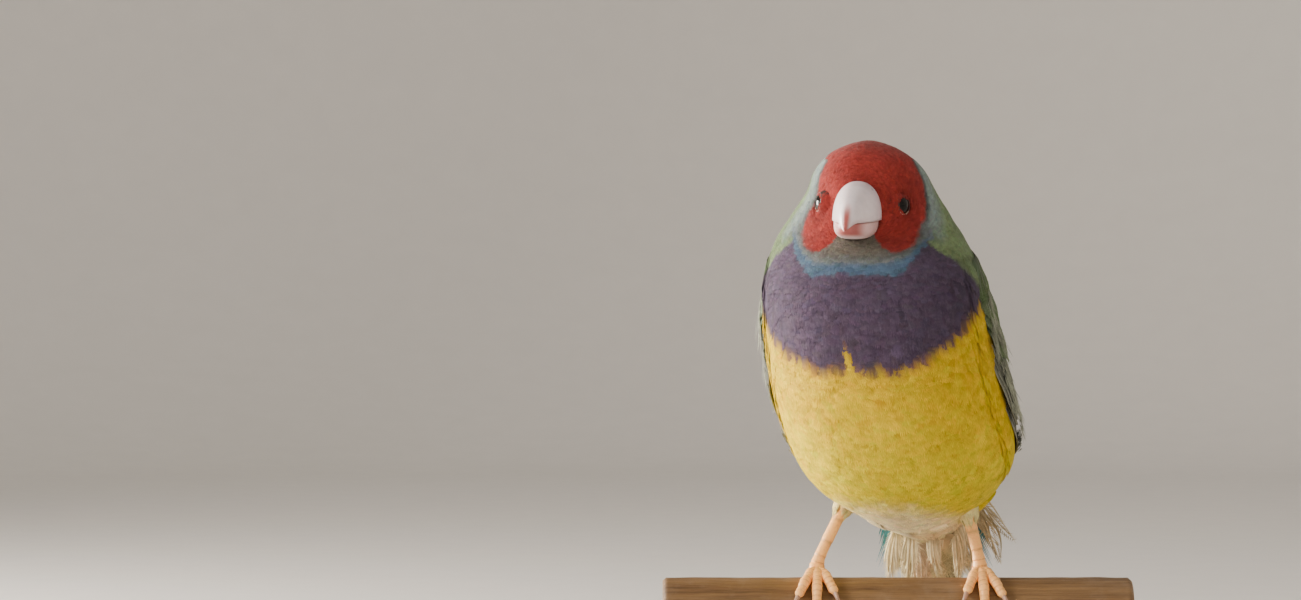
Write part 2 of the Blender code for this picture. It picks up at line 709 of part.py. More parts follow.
def make_tail():
    tail = add_object("tail", body_mesh(0.0, gapped(TAIL_CUT, -1), 7, 26), "black_plumage")
    pieces = []
    for i, (length, width) in enumerate(zip(TAIL_LENGTHS, TAIL_WIDTHS)):
        for side in (1, -1):
            height = 0.5 - TAIL_STEP * i + (0.17 if side > 0 else 0.0)
            pieces.append(vane(
                f"rectrix_{i}_{side}", side, "black_plumage", tail_point,
                (1.5, 0.7 + 0.3 * i), (length, 0.9 + TAIL_SPREAD * i), width / 2, (height, height),
                1.6 if i == 0 else 4.0, tilt=-0.05, rows=6 if i == 0 else 4,
            ))
    for i in range(COVERT_COUNT):
        across = (i / (COVERT_COUNT - 1) - 0.5) * 2
        length = 17.0 - 5.0 * abs(across)
        pieces.append(vane(
            f"upper_covert_{i}", 1, "black_plumage", tail_point,
            (-2.0, 4.2 * across), (length, 4.4 * across), 2.1,
            (3.2 + 0.05 * i, 1.6 - 0.5 * abs(across) + 0.05 * i), 3.0, rows=4,
        ))
    pieces += [add_object(f"plume_{i}", plume_mesh(plume), "pale_plumage") for i, plume in enumerate(PLUMES)]
    combine(tail, "UNION", pieces)
    combine(tail, "DIFFERENCE", [body_cutter("tail_clear", TAIL_CUT)])


# Legs and feet, in millimetres from the middle of the perch's top: x, back and z
FOOT_X = {"left": 16.0, "right": -15.3}
LEG_TOP = {"left": (13.7, 1.0, 12.2), "right": (-10.0, 3.0, 13.4)}
ANKLE_HEIGHT = 3.0
ANKLE_BACK = 0.6
TARSUS_RADIUS = 1.05
THIGH_RADIUS = 3.6
SCUTES = 5
TOE_RADIUS = 0.92
FOOT_STUB = 2.4
PERCH_START = math.radians(-6.0)
Toe = namedtuple("Toe", "reach spread")
# Each toe reaches round the perch by an angle, and spreads sideways by another, outwards from the bird
TOES = {
    "inner": Toe(math.radians(66.0), math.radians(-21.0)),
    "middle": Toe(math.radians(88.0), math.radians(2.0)),
    "outer": Toe(math.radians(72.0), math.radians(24.0)),
    "hind": Toe(math.radians(-74.0), math.radians(6.0)),
}
CLAW_ARC = 3.9
CLAW_RADIUS = 0.58


def perch_point(x, angle, distance):
    """A point round the perch: angle 0 is its top and grows to the front."""
    return np.stack(
        [
            x,
            -distance * np.sin(angle) + 0.0 * x,
            distance * np.cos(angle) - PERCH_RADIUS + 0.0 * x,
        ],
        axis=-1,
    )


def over_perch(points):
    return np.asarray(points) + np.array([0.0, PERCH_Y, PERCH_TOP])


def toe_path(foot_x, outward, toe, shares):
    angle = PERCH_START + toe.reach * shares
    run = np.abs(toe.reach) * shares * (PERCH_RADIUS + TOE_RADIUS)
    return foot_x + outward * run * math.tan(toe.spread), angle


def toe_mesh(foot_x, outward, toe):
    shares = np.linspace(0.0, 1.0, 8)
    x, angle = toe_path(foot_x, outward, toe, shares)
    radius = TOE_RADIUS * (1.12 - 0.32 * shares + 0.1 * np.cos(shares * math.tau * 2.5))
    path = perch_point(x, angle, PERCH_RADIUS + GAP + radius)
    up = path - np.stack([x, np.zeros_like(x), np.full_like(x, -PERCH_RADIUS)], axis=-1)
    rings = tube_rings(over_perch(path), radius, radius, up, 7)
    return ring_bmesh(rings, over_perch(path[0]), over_perch(path[-1]))


def claw_mesh(foot_x, outward, toe):
    arc = CLAW_ARC / (PERCH_RADIUS + CLAW_RADIUS) / abs(toe.reach)
    start = 1.0 + GAP / (PERCH_RADIUS + TOE_RADIUS) / abs(toe.reach)
    shares = np.linspace(0.0, 1.0, 6)
    x, angle = toe_path(foot_x, outward, toe, start + arc * shares)
    radius = CLAW_RADIUS * (1.0 - 0.8 * shares**1.3)
    distance = PERCH_RADIUS + GAP + radius + 0.75 * np.sin(math.pi * shares**0.8)
    path = perch_point(x, angle, distance)
    up = path - np.stack([x, np.zeros_like(x), np.full_like(x, -PERCH_RADIUS)], axis=-1)
    rings = tube_rings(over_perch(path), radius * 0.85, radius, up, 7)
    return ring_bmesh(rings[:-1], over_perch(path[0]), over_perch(path[-1]))


def straight_tube(start, end, radii, around=12):
    shares = np.linspace(0.0, 1.0, len(radii))
    path = np.asarray(start) + (np.asarray(end) - np.asarray(start)) * shares[:, None]
    up = np.tile([1.0, 0.0, 0.0], (len(path), 1))
    rings = tube_rings(path, np.array(radii), np.array(radii), up, around)
    return ring_bmesh(rings, path[0], path[-1])


def make_leg(name):
    foot_x = FOOT_X[name]
    outward = 1 if name == "left" else -1
    ankle = np.array([foot_x, ANKLE_BACK, ANKLE_HEIGHT])
    top = np.array(LEG_TOP[name])
    rise = (top - ankle) / np.linalg.norm(top - ankle)
    foot_end = ankle + rise * FOOT_STUB
    middle_x, angle = toe_path(foot_x, outward, TOES["middle"], 0.0)
    heart = perch_point(np.array(foot_x), np.array(angle), PERCH_RADIUS + GAP + 1.25)
    foot = add_object(
        f"foot_{name}",
        straight_tube(over_perch(heart), over_perch(foot_end), [1.25, 1.3, TARSUS_RADIUS]),
        "flesh_skin",
        posed=False,
    )
    toes = [
        add_object(f"{kind}_toe_{name}", toe_mesh(foot_x, outward, toe), "flesh_skin", posed=False)
        for kind, toe in TOES.items()
    ]
    combine(foot, "UNION", toes)
    for kind, toe in TOES.items():
        shade(add_object(f"claw_{kind}_{name}", claw_mesh(foot_x, outward, toe), "pale_claw", posed=False))
    thigh_end = top - rise * 1.5
    tarsus_start = foot_end + rise * GAP
    tarsus_end = thigh_end - rise * GAP
    # Each scute swells a little over the next one below it
    radii = [TARSUS_RADIUS * (0.9 + 0.1 * (i % 2) + 0.04 * i / SCUTES) for i in range(2 * SCUTES)]
    shade(add_object(
        f"tarsus_{name}",
        straight_tube(over_perch(tarsus_start), over_perch(tarsus_end), radii),
        "flesh_skin",
        posed=False,
    ))
    thigh = add_object(
        f"thigh_{name}",
        straight_tube(
            over_perch(thigh_end),
            over_perch(top + rise * 6.0),
            [TARSUS_RADIUS * 1.2, THIGH_RADIUS * 0.7, THIGH_RADIUS * 0.95, THIGH_RADIUS],
            14,
        ),
        "pale_plumage",
        posed=False,
    )
    combine(thigh, "DIFFERENCE", [body_cutter(f"thigh_bed_{name}")])


# Perch and stand
def cylinder(radius, length, segments):
    mesh = bmesh.new()
    bmesh.ops.create_cone(
        mesh, cap_ends=True, segments=segments, radius1=radius, radius2=radius, depth=length
    )
    return mesh


def lying_cylinder(radius, length, segments, edge):
    """A cylinder along X at the perch's height, with its end edges rounded."""
    mesh = cylinder(radius, length, segments)
    if edge:
        ends = [e for e in mesh.edges if abs(e.verts[0].co.z - e.verts[1].co.z) < 1e-6]
        bmesh.ops.bevel(mesh, geom=ends, offset=edge, segments=2, profile=0.5, affect="EDGES", material=-1)
    for vert in mesh.verts:
        x, y, z = vert.co
        vert.co = (z, y + PERCH_Y, -x + PERCH_Z)
    return mesh


def make_stand():
    shade(add_object(
        "perch", lying_cylinder(PERCH_RADIUS, PERCH_LENGTH, 32, PERCH_EDGE), "perch_wood", posed=False
    ))
    for side, name in ((1, "left"), (-1, "right")):
        foot = BASE_HEIGHT + GAP
        rod = cylinder(ROD_RADIUS, PERCH_Z - foot, 20)
        for vert in rod.verts:
            vert.co.x += side * ROD_REACH
            vert.co.y += PERCH_Y
            vert.co.z += foot + (PERCH_Z - foot) / 2
        made = add_object(f"stand_rod_{name}", rod, "stand_steel", posed=False)
        hollow = lying_cylinder(PERCH_RADIUS + GAP, PERCH_LENGTH + 10.0, 32, 0.0)
        combine(made, "DIFFERENCE", [add_object("rod_seat", hollow, "stand_steel", posed=False)])
    base = bmesh.new()
    bmesh.ops.create_cube(base, size=1.0)
    for vert in base.verts:
        x, y, z = vert.co
        vert.co = (x * BASE_LENGTH, y * BASE_DEPTH, (z + 0.5) * BASE_HEIGHT)
    upright = [e for e in base.edges if abs(e.verts[0].co.z - e.verts[1].co.z) > 1.0]
    bmesh.ops.bevel(
        base, geom=upright, offset=BASE_CORNER, segments=6, profile=0.5, affect="EDGES", material=-1
    )
    rim = [e for e in base.edges if min(v.co.z for v in e.verts) > BASE_HEIGHT - 1e-4]
    bmesh.ops.bevel(base, geom=rim, offset=BASE_EDGE, segments=3, profile=0.5, affect="EDGES", material=-1)
    shade(add_object("stand_base", base, "stand_wood", posed=False))


clear_scene()
make_trunk()
make_head()
make_bill()
make_wings()
make_tail()
for leg_name in ("left", "right"):
    make_leg(leg_name)
make_stand()
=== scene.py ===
"""Looks for the perched gouldian finch: skin, feathers, bill, eyes, legs, perch, stand, light and camera.

The bird is shaped in its own upright frame, in millimetres, as its solids are: x to its left,
f forward to its breast and z up from the top of the perch. pose() sets it into the model's frame.
"""

import math
from collections import namedtuple

import bmesh
import bpy
import numpy as np
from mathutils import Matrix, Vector, kdtree


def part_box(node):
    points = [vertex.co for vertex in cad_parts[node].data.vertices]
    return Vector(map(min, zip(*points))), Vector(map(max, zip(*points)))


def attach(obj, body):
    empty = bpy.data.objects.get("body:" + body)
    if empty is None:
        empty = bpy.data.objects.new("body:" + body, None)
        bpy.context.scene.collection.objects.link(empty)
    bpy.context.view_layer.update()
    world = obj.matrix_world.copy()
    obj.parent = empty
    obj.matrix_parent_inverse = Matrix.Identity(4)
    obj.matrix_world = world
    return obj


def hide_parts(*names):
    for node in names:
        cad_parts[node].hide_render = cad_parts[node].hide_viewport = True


bl_info = {
    "name": "Gouldian finch",
    "version": (1, 0, 0),
    "blender": (4, 5, 0),
    "location": "3D View > Sidebar > Finch",
    "description": "Dresses the solids of a perched gouldian finch in skin, feathers, horn and wood",
    "category": "Add Mesh",
}

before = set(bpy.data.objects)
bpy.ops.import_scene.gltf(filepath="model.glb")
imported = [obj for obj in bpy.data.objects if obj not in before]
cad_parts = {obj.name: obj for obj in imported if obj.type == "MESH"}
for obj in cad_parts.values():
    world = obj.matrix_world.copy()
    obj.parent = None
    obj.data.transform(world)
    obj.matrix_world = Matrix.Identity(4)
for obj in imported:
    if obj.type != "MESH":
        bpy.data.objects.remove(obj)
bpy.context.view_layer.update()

MM = 0.001
SEED = 7

# The perch and the stand, in millimetres, from the frame
PERCH_LOW, PERCH_HIGH = (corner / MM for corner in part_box("perch"))
BASE_LOW, BASE_HIGH = (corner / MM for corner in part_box("stand_base"))
PERCH_RADIUS = (PERCH_HIGH.z - PERCH_LOW.z) / 2
PERCH_Y = (PERCH_HIGH.y + PERCH_LOW.y) / 2
PERCH_TOP = PERCH_HIGH.z
PERCH_Z = PERCH_TOP - PERCH_RADIUS
GAP = 0.3

# How the bird stands and holds its head, as in its solids
TURN = math.radians(-16.5)
LEAN_HIPS = 2.0
LEAN_HEAD = -3.4
LEAN_FROM = 8.0
LEAN_TO = 68.0
HEAD_TURN = math.radians(2.0)
HEAD_ROLL = math.radians(2.5)
HEAD_FROM = 58.0
HEAD_TO = 70.0
HEAD_AXIS = 8.0

# Eyes and bill, as in the solids
EYE_RADIUS = 2.9
EYE_SUNK = 2.15
EYE_STATION = 10.95
EYE_ANGLE = math.radians(43.0)
GAZE_SIDEWAYS = 2.0
BILL_LENGTH = 11.4
BILL_WIDTH = 9.1
BILL_DROP = math.radians(6.0)
BILL_ROOT = (19.6, 70.5)
MOUTH_RISE = -2.1
UPPER_RISE = 7.1
LOWER_DROP = 3.4
LOWER_LENGTH = 9.2
LOWER_WIDTH = 8.0
BILL_SUNK = 4.0
NOSTRIL_PLACE = (1.0, 2.9, 3.66)

Section = namedtuple("Section", "front back half_width widest pinch")

# Slices of the body from the tail root to the crown, as in the solids: a point on the belly side and
# one on the back, as (forward, up), the half width, where it is widest and how it narrows forward
BODY = (
    Section((-23.5, 5.5), (-23.5, 5.5), 0.0, 0.5, 1.0),
    Section((-17.5, 5.2), (-25.8, 11.0), 5.2, 0.5, 1.0),
    Section((-10.8, 7.4), (-24.2, 18.5), 9.8, 0.55, 1.3),
    Section((0.0, 9.0), (-21.8, 27.0), 16.4, 0.55, 1.3),
    Section((12.5, 13.4), (-19.3, 35.0), 20.6, 0.5, 1.05),
    Section((22.0, 22.5), (-16.8, 42.5), 21.6, 0.5, 0.9),
    Section((27.3, 34.5), (-14.0, 49.5), 21.5, 0.5, 0.9),
    Section((28.5, 46.0), (-11.2, 56.0), 20.9, 0.52, 0.9),
    Section((27.0, 54.5), (-8.8, 61.5), 20.3, 0.52, 0.95),
    Section((23.4, 61.0), (-6.6, 66.8), 18.5, 0.54, 1.05),
    Section((20.8, 65.8), (-4.2, 71.2), 15.5, 0.58, 1.25),
    Section((21.2, 71.0), (-1.9, 75.3), 12.5, 0.62, 1.4),
    Section((20.0, 76.6), (1.8, 79.2), 10.2, 0.58, 1.15),
    Section((17.0, 80.9), (5.4, 82.0), 6.5, 0.5, 1.0),
    Section((11.2, 83.4), (11.2, 83.4), 0.0, 0.5, 1.0),
)
CROWN = len(BODY) - 1


# Sizes and colours that a user may change
def size(name, description, default, **more):
    return bpy.props.FloatProperty(name=name, description=description, default=default, **more)


def colour(name, description, default):
    return bpy.props.FloatVectorProperty(
        name=name, description=description, default=default, subtype="COLOR", size=3, min=0.0, max=1.0
    )


class FinchColours(bpy.types.PropertyGroup):
    mask: colour("Mask", "Red of the face and forehead", (0.285, 0.034, 0.028))
    border: colour("Border", "Thin dark line round the mask", (0.020, 0.018, 0.020))
    chin: colour("Chin", "Grey olive chin under the bill", (0.110, 0.098, 0.080))
    band: colour("Band", "Pale turquoise band behind the mask", (0.20, 0.25, 0.235))
    collar: colour("Collar", "Blue lower edge of the band over the breast", (0.066, 0.108, 0.165))
    breast: colour("Breast", "Purple breast", (0.070, 0.049, 0.080))
    gold: colour("Gold", "Deep yellow under the breast", (0.60, 0.395, 0.010))
    belly: colour("Belly", "Yellow of the belly", (0.64, 0.50, 0.016))
    vent: colour("Vent", "Cream white low on the belly and under the tail", (0.92, 0.78, 0.46))
    back: colour("Back", "Green back and shoulders", (0.125, 0.170, 0.080))
    rump: colour("Rump", "Turquoise rump and upper tail coverts", (0.10, 0.36, 0.46))
    quill: colour("Flight feathers", "Brown of the flight feathers", (0.150, 0.145, 0.110))
    edge: colour("Feather edges", "Pale edges of the flight feathers", (0.56, 0.56, 0.44))
    tail: colour("Tail", "Black tail feathers", (0.014, 0.014, 0.017))
    plume: colour("Plumes", "Frayed pale feathers that hang from the vent", (0.98, 0.84, 0.54))
    ivory: colour("Bill", "Ivory horn of the bill", (0.77, 0.67, 0.68))
    bill_tip: colour("Bill tip", "Red tip and edges of the bill", (0.34, 0.055, 0.045))
    leg: colour("Legs", "Flesh skin of the legs and toes", (1.0, 0.50, 0.16))


class FinchCoat(bpy.types.PropertyGroup):
    body_depth: size("Body coat", "Depth of the body's feathers over the skin", 0.35 * MM, unit="LENGTH")
    head_depth: size("Head coat", "Depth of the head's feathers over the skin", 0.30 * MM, unit="LENGTH")
    density: size("Density", "How closely the feathers stand, against the usual", 1.0, min=0.2, max=1.5)
    sheen: size("Sheen", "Soft light along the edges of the plumage", 0.03, min=0.0, max=1.0)


class FinchStage(bpy.types.PropertyGroup):
    floor: colour("Floor", "Plain pale floor and backdrop", (0.80, 0.77, 0.73))
    key: size("Key light", "Power of the warm light from the left", 10.0, min=0.0)
    rim: size("Rim light", "Power of the light from behind on the left", 22.0, min=0.0)
    fill: size("Fill light", "Power of the wide light from the front", 2.8, min=0.0)


# Form of the body
def smoothstep(share):
    share = np.clip(share, 0.0, 1.0)
    return share * share * (3.0 - 2.0 * share)


def unit(vectors):
    length = np.linalg.norm(vectors, axis=-1, keepdims=True)
    return vectors / np.maximum(length, 1e-9)


def pose(points):
    """Bird points in millimetres, with the head set, leaned, turned and set over the perch."""
    points = np.asarray(points, float)
    x, forward, z = points[..., 0], points[..., 1], points[..., 2]
    head = smoothstep((z - HEAD_FROM) / (HEAD_TO - HEAD_FROM))
    x, forward, z = (
        x + head * (HEAD_TURN * (forward - HEAD_AXIS) + HEAD_ROLL * (z - HEAD_TO)),
        forward - head * HEAD_TURN * x,
        z - head * HEAD_ROLL * x,
    )
    side = x + LEAN_HIPS + (LEAN_HEAD - LEAN_HIPS) * smoothstep((z - LEAN_FROM) / (LEAN_TO - LEAN_FROM))
    return np.stack(
        [
            math.cos(TURN) * side + math.sin(TURN) * forward,
            math.sin(TURN) * side - math.cos(TURN) * forward + PERCH_Y,
            z + PERCH_TOP,
        ],
        axis=-1,
    )


def over_perch(points):
    """Points measured from the middle of the perch's top."""
    return np.asarray(points, float) + np.array([0.0, PERCH_Y, PERCH_TOP])


def spline(knots, values, at):
    """A smooth curve through values at knots, read at the given places."""
    at = np.asarray(at, float)
    slopes = np.empty_like(values)
    slopes[1:-1] = (values[2:] - values[:-2]) / (knots[2:] - knots[:-2])[:, None]
    slopes[0] = slopes[1]
    slopes[-1] = slopes[-2]
    cell = np.clip(np.searchsorted(knots, at, side="right") - 1, 0, len(knots) - 2)
    width = (knots[cell + 1] - knots[cell])[..., None]
    share = ((at - knots[cell])[..., None]) / width
    h00 = 2 * share**3 - 3 * share**2 + 1
    h10 = share**3 - 2 * share**2 + share
    return (
        h00 * values[cell]
        + h10 * width * slopes[cell]
        + (1 - h00) * values[cell + 1]
        + (share**3 - share**2) * width * slopes[cell + 1]
    )


class Loft:
    """A closed form through sections. Stations count along it, and angles turn from its front to its left."""

    def __init__(self, sections):
        rows = np.array([(*s.front, *s.back, s.half_width, s.widest, s.pinch) for s in sections], float)
        # Past each pole the form goes on as its own mirror image, so that it closes in a smooth dome
        flip = [2, 3, 0, 1, 4, 5, 6]
        before = rows[1][flip] * [1, 1, 1, 1, -1, 1, 1]
        after = rows[-2][flip] * [1, 1, 1, 1, -1, 1, 1]
        self.rows = np.vstack([before, rows, after])
        self.stations = np.arange(-1.0, len(sections) + 1.0)

    def point(self, station, angle):
        row = spline(self.stations, self.rows, station)
        front, back, half_width = row[..., 0:2], row[..., 2:4], row[..., 4]
        widest, pinch = row[..., 5:6], row[..., 6]
        middle = front + (back - front) * widest
        cosine = np.cos(angle)[..., None]
        reach = np.where(cosine > 0, front - middle, middle - back)
        along = middle + reach * cosine
        sine = np.sin(angle)
        power = np.where(np.cos(angle) > 0, pinch, 1.0)
        x = half_width * np.sign(sine) * np.abs(sine) ** power
        return np.concatenate([x[..., None], along], axis=-1)

    def normal(self, station, angle):
        step = 0.02
        low = np.clip(station - step, 0.02, None)
        high = np.clip(station + step, None, self.stations[-2] - 0.02)
        along = self.point(high, angle) - self.point(low, angle)
        around = self.point(station, angle + step) - self.point(station, angle - step)
        return unit(np.cross(along, around))

    def centre_line(self, station):
        row = spline(self.stations, self.rows, np.array(float(station)))
        return np.array([0.0, (row[0] + row[2]) / 2, (row[1] + row[3]) / 2])

    def offset(self, station, angle, out):
        """A surface point moved out along the normal."""
        station, angle = np.broadcast_arrays(np.asarray(station, float), np.asarray(angle, float))
        return self.point(station, angle) + self.normal(station, angle) * np.asarray(out)[..., None]


body = Loft(BODY)


def coat_depth(station):
    """Depth of the coat in millimetres, thinnest on the head."""
    coat = bpy.context.scene.finch_coat
    share = smoothstep((np.asarray(station) - 8.2) / 1.6)
    return (coat.body_depth + (coat.head_depth - coat.body_depth) * share) / MM


def wave(points, length, seed):
    """A smooth pattern from -1 to 1 over points in millimetres, with waves of about that length."""
    draw = np.random.default_rng(seed)
    total = 0.0
    for _ in range(5):
        way = unit(draw.normal(size=3)) * math.tau / (length * draw.uniform(0.7, 1.4))
        total = total + np.sin(points @ way + draw.uniform(0, math.tau))
    return total / 2.6


# Markings: edges of the mask, band and breast on the body form, in millimetres of the bird's frame
MASK_REAR = ((60.0, 21.0), (62.7, 19.8), (65.3, 16.6), (68.8, 14.5), (72.6, 14.1), (79.2, 13.6),
             (82.0, 11.6), (83.6, 8.5))
MASK_FOOT = ((0.0, 70.0), (3.0, 67.5), (4.0, 64.4), (5.4, 62.9), (7.2, 61.9), (9.0, 62.3), (10.6, 63.4),
             (13.0, 66.5))
MASK_TILT = 0.2
CHIN_WIDTH = 5.6
CHIN_FOOT = 61.3
BORDER_WIDTH = 0.75
COLLAR_FOOT = 3.7
BREAST_FOOT = ((0, 38.9), (18, 38.9), (36, 41.5), (54, 44.8), (68, 47.8), (80, 50.8), (95, 53.5))
FLANK_EDGE = ((0.0, 180), (2.2, 165), (3.0, 128), (4.0, 112), (5.4, 102), (6.8, 92), (7.6, 86), (8.3, 72),
              (8.9, 58), (9.4, 50), (11, 46))
PARTING_X = -1.7


def table(pairs, at):
    """Straight lines through a few (place, value) pairs."""
    places, values = zip(*pairs)
    return np.interp(at, places, values)


def rounded_inside(first, second):
    """The smaller of two distances inside an edge, with a round corner where a point lies outside both."""
    outside = -np.hypot(np.minimum(first, 0.0), np.minimum(second, 0.0))
    return np.where(outside < 0, outside, np.minimum(first, second))


def mask_distance(point):
    """How far inside the red mask a point lies, in millimetres, and below 0 outside it."""
    x, forward, z = np.moveaxis(point, -1, 0)
    tilt = MASK_TILT * smoothstep((z - 66.0) / 8.0)
    rear = forward - (table(MASK_REAR, z) - tilt * x)
    foot = z - table(MASK_FOOT, np.abs(x))
    return rounded_inside(rear, foot)


def chin_distance(point):
    """How far inside the dark chin a point lies."""
    x, forward, z = np.moveaxis(point, -1, 0)
    inside = rounded_inside(CHIN_WIDTH + 0.22 * (66.0 - z) - np.abs(x), z - CHIN_FOOT)
    return np.where(forward > 8.0, np.minimum(inside, 69.0 - z), -9.0)


def tree_of(points):
    """A tree that finds the points nearest to a place."""
    tree = kdtree.KDTree(len(points))
    for i, point in enumerate(points):
        tree.insert(point, i)
    tree.balance()
    return tree


def mix(first, second, share):
    return first + (np.asarray(second) - first) * np.clip(share, 0.0, 1.0)[..., None]


def scaled(tint, factor):
    return np.asarray(tint)[None, :] * factor


def markings(station, angle, point):
    """Colours of the plumage at points of the body form."""
    tints = bpy.context.scene.finch_colours
    x, z = point[..., 0], point[..., 2]
    angle = (angle + math.pi) % math.tau - math.pi
    side = np.degrees(np.abs(angle))
    ragged = 0.30 * wave(point, 1.6, 11) + 0.25 * wave(point, 4.0, 12)
    soft = wave(point, 9.0, 13)
    # Belly, from gold under the breast to cream at the vent
    paler = smoothstep((36.0 - z) / 22.0)
    paint = mix(np.broadcast_to(np.array(tints.gold), point.shape), tints.belly, paler + 0.12 * soft)
    cream = smoothstep((16.2 + 1.5 * ragged - z - 0.35 * np.maximum(x - 4.0, 0.0)) / 6.5)
    paint = mix(paint, tints.vent, np.maximum(cream, smoothstep((2.6 - station) / 0.8)))
    # Purple breast, with a parting where its feathers fall to both sides
    parting = 4.6 * np.exp(-(((x - PARTING_X) / 0.75) ** 2))
    foot = table(BREAST_FOOT, side) + parting + 1.1 * ragged
    blend = np.clip(1.0 - np.abs(z - foot) / 1.3, 0.0, 1.0)
    paint = mix(paint, tints.breast, smoothstep((z - foot) / 1.1 + 0.5))
    paint = mix(paint, np.array(tints.gold) * [0.62, 0.42, 1.0], 0.35 * blend)
    # Green back and the turquoise rump under it
    flank = side - table(FLANK_EDGE, station) + 3.0 * ragged
    back = mix(np.broadcast_to(np.array(tints.back), point.shape), scaled(tints.back, 1.35)[0],
               0.5 + 0.5 * soft)
    back = mix(back, tints.rump, smoothstep((4.9 - station) / 0.9))
    paint = mix(paint, back, smoothstep(flank / 5.0 + 0.5))
    # Band, collar, border, chin and mask
    mask = mask_distance(point) + 0.35 * ragged
    chin = chin_distance(point) + 0.35 * ragged
    outside = -np.maximum(mask, chin)
    over_breast = 1.0 - smoothstep((side - 52.0) / 14.0)
    edge = COLLAR_FOOT * (1.0 - 0.6 * smoothstep((side - 40.0) / 32.0)) + 0.7 * ragged
    front_band = smoothstep((edge - outside) / 0.5 + 0.5)
    side_band = (1.0 - smoothstep((outside - 2.0 + 0.3 * np.tanh(x / 4.0)) / 4.0)) * (1.0 - over_breast)
    cool_chin = np.array(tints.chin) * [0.92, 1.05, 1.25]
    throat = mix(np.broadcast_to(np.array(tints.band), point.shape), cool_chin, 0.75 * over_breast)
    over_throat = 1.0 - smoothstep((side - 46.0) / 18.0)
    blue = mix(throat, tints.collar, over_throat * smoothstep((outside - 0.9) / 1.3))
    paint = mix(paint, blue, np.maximum(front_band, side_band))
    dark_line = (1.0 - smoothstep((outside - BORDER_WIDTH) / 0.9 + 0.5)) * (0.75 - 0.45 * over_breast)
    paint = mix(paint, tints.border, dark_line)
    paint = mix(paint, tints.chin, smoothstep(chin / 1.6 + 0.5) * (1.0 - smoothstep(mask / 0.7 + 0.5)))
    red = mix(np.broadcast_to(np.array(tints.mask), point.shape), scaled(tints.mask, 0.72)[0],
              0.5 + 0.5 * soft)
    return mix(paint, red, smoothstep(mask / 0.8 + 0.5))


# Meshes
def object_from(name, mesh_data):
    made = bpy.data.objects.new(name, mesh_data)
    bpy.context.scene.collection.objects.link(made)
    return made


def place_piece(piece, slot, *nodes):
    """Rides the piece on the still body and lets it stand for its solids. Its finish slot is not used."""
    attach(piece, "root")
    if nodes:
        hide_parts(*nodes)
    return piece


def ring_bmesh(rings, first_pole, last_pole, tints=None):
    """A closed mesh: a UV sphere whose rings and poles are moved onto the given points, and painted."""
    count, around = rings.shape[:2]
    mesh = bmesh.new()
    layer = mesh.verts.layers.float_color.new("Paint") if tints is not None else None
    bmesh.ops.create_uvsphere(mesh, u_segments=around, v_segments=count + 1, radius=1.0)
    for vert in mesh.verts:
        row = round(math.acos(max(-1.0, min(1.0, vert.co.z))) / math.pi * (count + 1))
        column = round((math.atan2(vert.co.y, vert.co.x) / math.tau - 0.25) * around) % around
        if row == 0:
            vert.co = first_pole
        elif row == count + 1:
            vert.co = last_pole
        else:
            vert.co = rings[row - 1, column]
        if layer:
            near = min(max(row - 1, 0), count - 1)
            vert[layer] = (*tints[near, column], 1.0)
    return mesh


def bmesh_object(name, mesh, materials, place=pose, paint=None, angle=None):
    """An object of a closed bmesh in millimetres, set by place() and painted by its points before that."""
    points = np.array([vert.co for vert in mesh.verts])
    placed = place(points) * MM
    for vert, point in zip(mesh.verts, placed):
        vert.co = point
    if mesh.calc_volume(signed=True) < 0:
        bmesh.ops.reverse_faces(mesh, faces=mesh.faces[:])
    data = bpy.data.meshes.new(name)
    mesh.to_mesh(data)
    mesh.free()
    if paint is not None:
        tints = np.ones((len(points), 4))
        tints[:, :3] = paint(points)
        data.color_attributes.new("Paint", "FLOAT_COLOR", "POINT").data.foreach_set("color", tints.ravel())
    for material in materials:
        data.materials.append(material)
    data.shade_smooth()
    if angle:
        data.set_sharp_from_angle(angle=math.radians(angle))
    return object_from(name, data)


class Barbs:
    """Feathers made as one mesh from arrays: points, triangles, colours and two maps, batch by batch."""

    def __init__(self):
        self.parts = []
        self.count = 0

    def add(self, template, points, tints, roots):
        """Adds feathers from points and tints, (feathers, corners, 3), and roots on the form's unwrap."""
        many, corners = points.shape[:2]
        faces = (np.arange(many)[:, None, None] * corners + template.faces[None]).reshape(-1, 3)
        first = points[0][template.shell]
        volume = np.einsum("ij,ij->i", first[:, 0], np.cross(first[:, 1], first[:, 2])).sum()
        if volume < 0:
            faces = faces[:, ::-1]
        across = np.stack([template.u * 0.5 + 0.5, template.v], axis=-1)
        patch = roots[:, None, :] + (across[None] - 0.5) * PATCH
        self.parts.append((
            points.reshape(-1, 3),
            faces + self.count,
            tints.reshape(-1, 3),
            patch.reshape(-1, 2),
            np.tile(across, (many, 1)),
        ))
        self.count += many * corners

    def make(self, name, material, sharp):
        points, faces, tints, patch, across = (np.concatenate(column) for column in zip(*self.parts))
        data = bpy.data.meshes.new(name)
        data.vertices.add(len(points))
        data.vertices.foreach_set("co", (points * MM).ravel().astype(np.float32))
        data.loops.add(faces.size)
        data.loops.foreach_set("vertex_index", faces.ravel().astype(np.int32))
        data.polygons.add(len(faces))
        data.polygons.foreach_set("loop_start", np.arange(0, faces.size, 3, dtype=np.int32))
        data.update(calc_edges=True)
        for map_name, places in (("OFBake", patch), ("Vane", across)):
            layer = data.uv_layers.new(name=map_name)
            layer.data.foreach_set("uv", places[faces.ravel()].ravel().astype(np.float32))
        rgba = np.ones((len(points), 4), np.float32)
        rgba[:, :3] = np.clip(tints, 0.0, 1.0)
        data.color_attributes.new("Paint", "FLOAT_COLOR", "POINT").data.foreach_set("color", rgba.ravel())
        data.materials.append(material)
        data.shade_smooth()
        data.set_sharp_from_angle(angle=math.radians(sharp))
        return object_from(name, data)


PATCH = 0.003
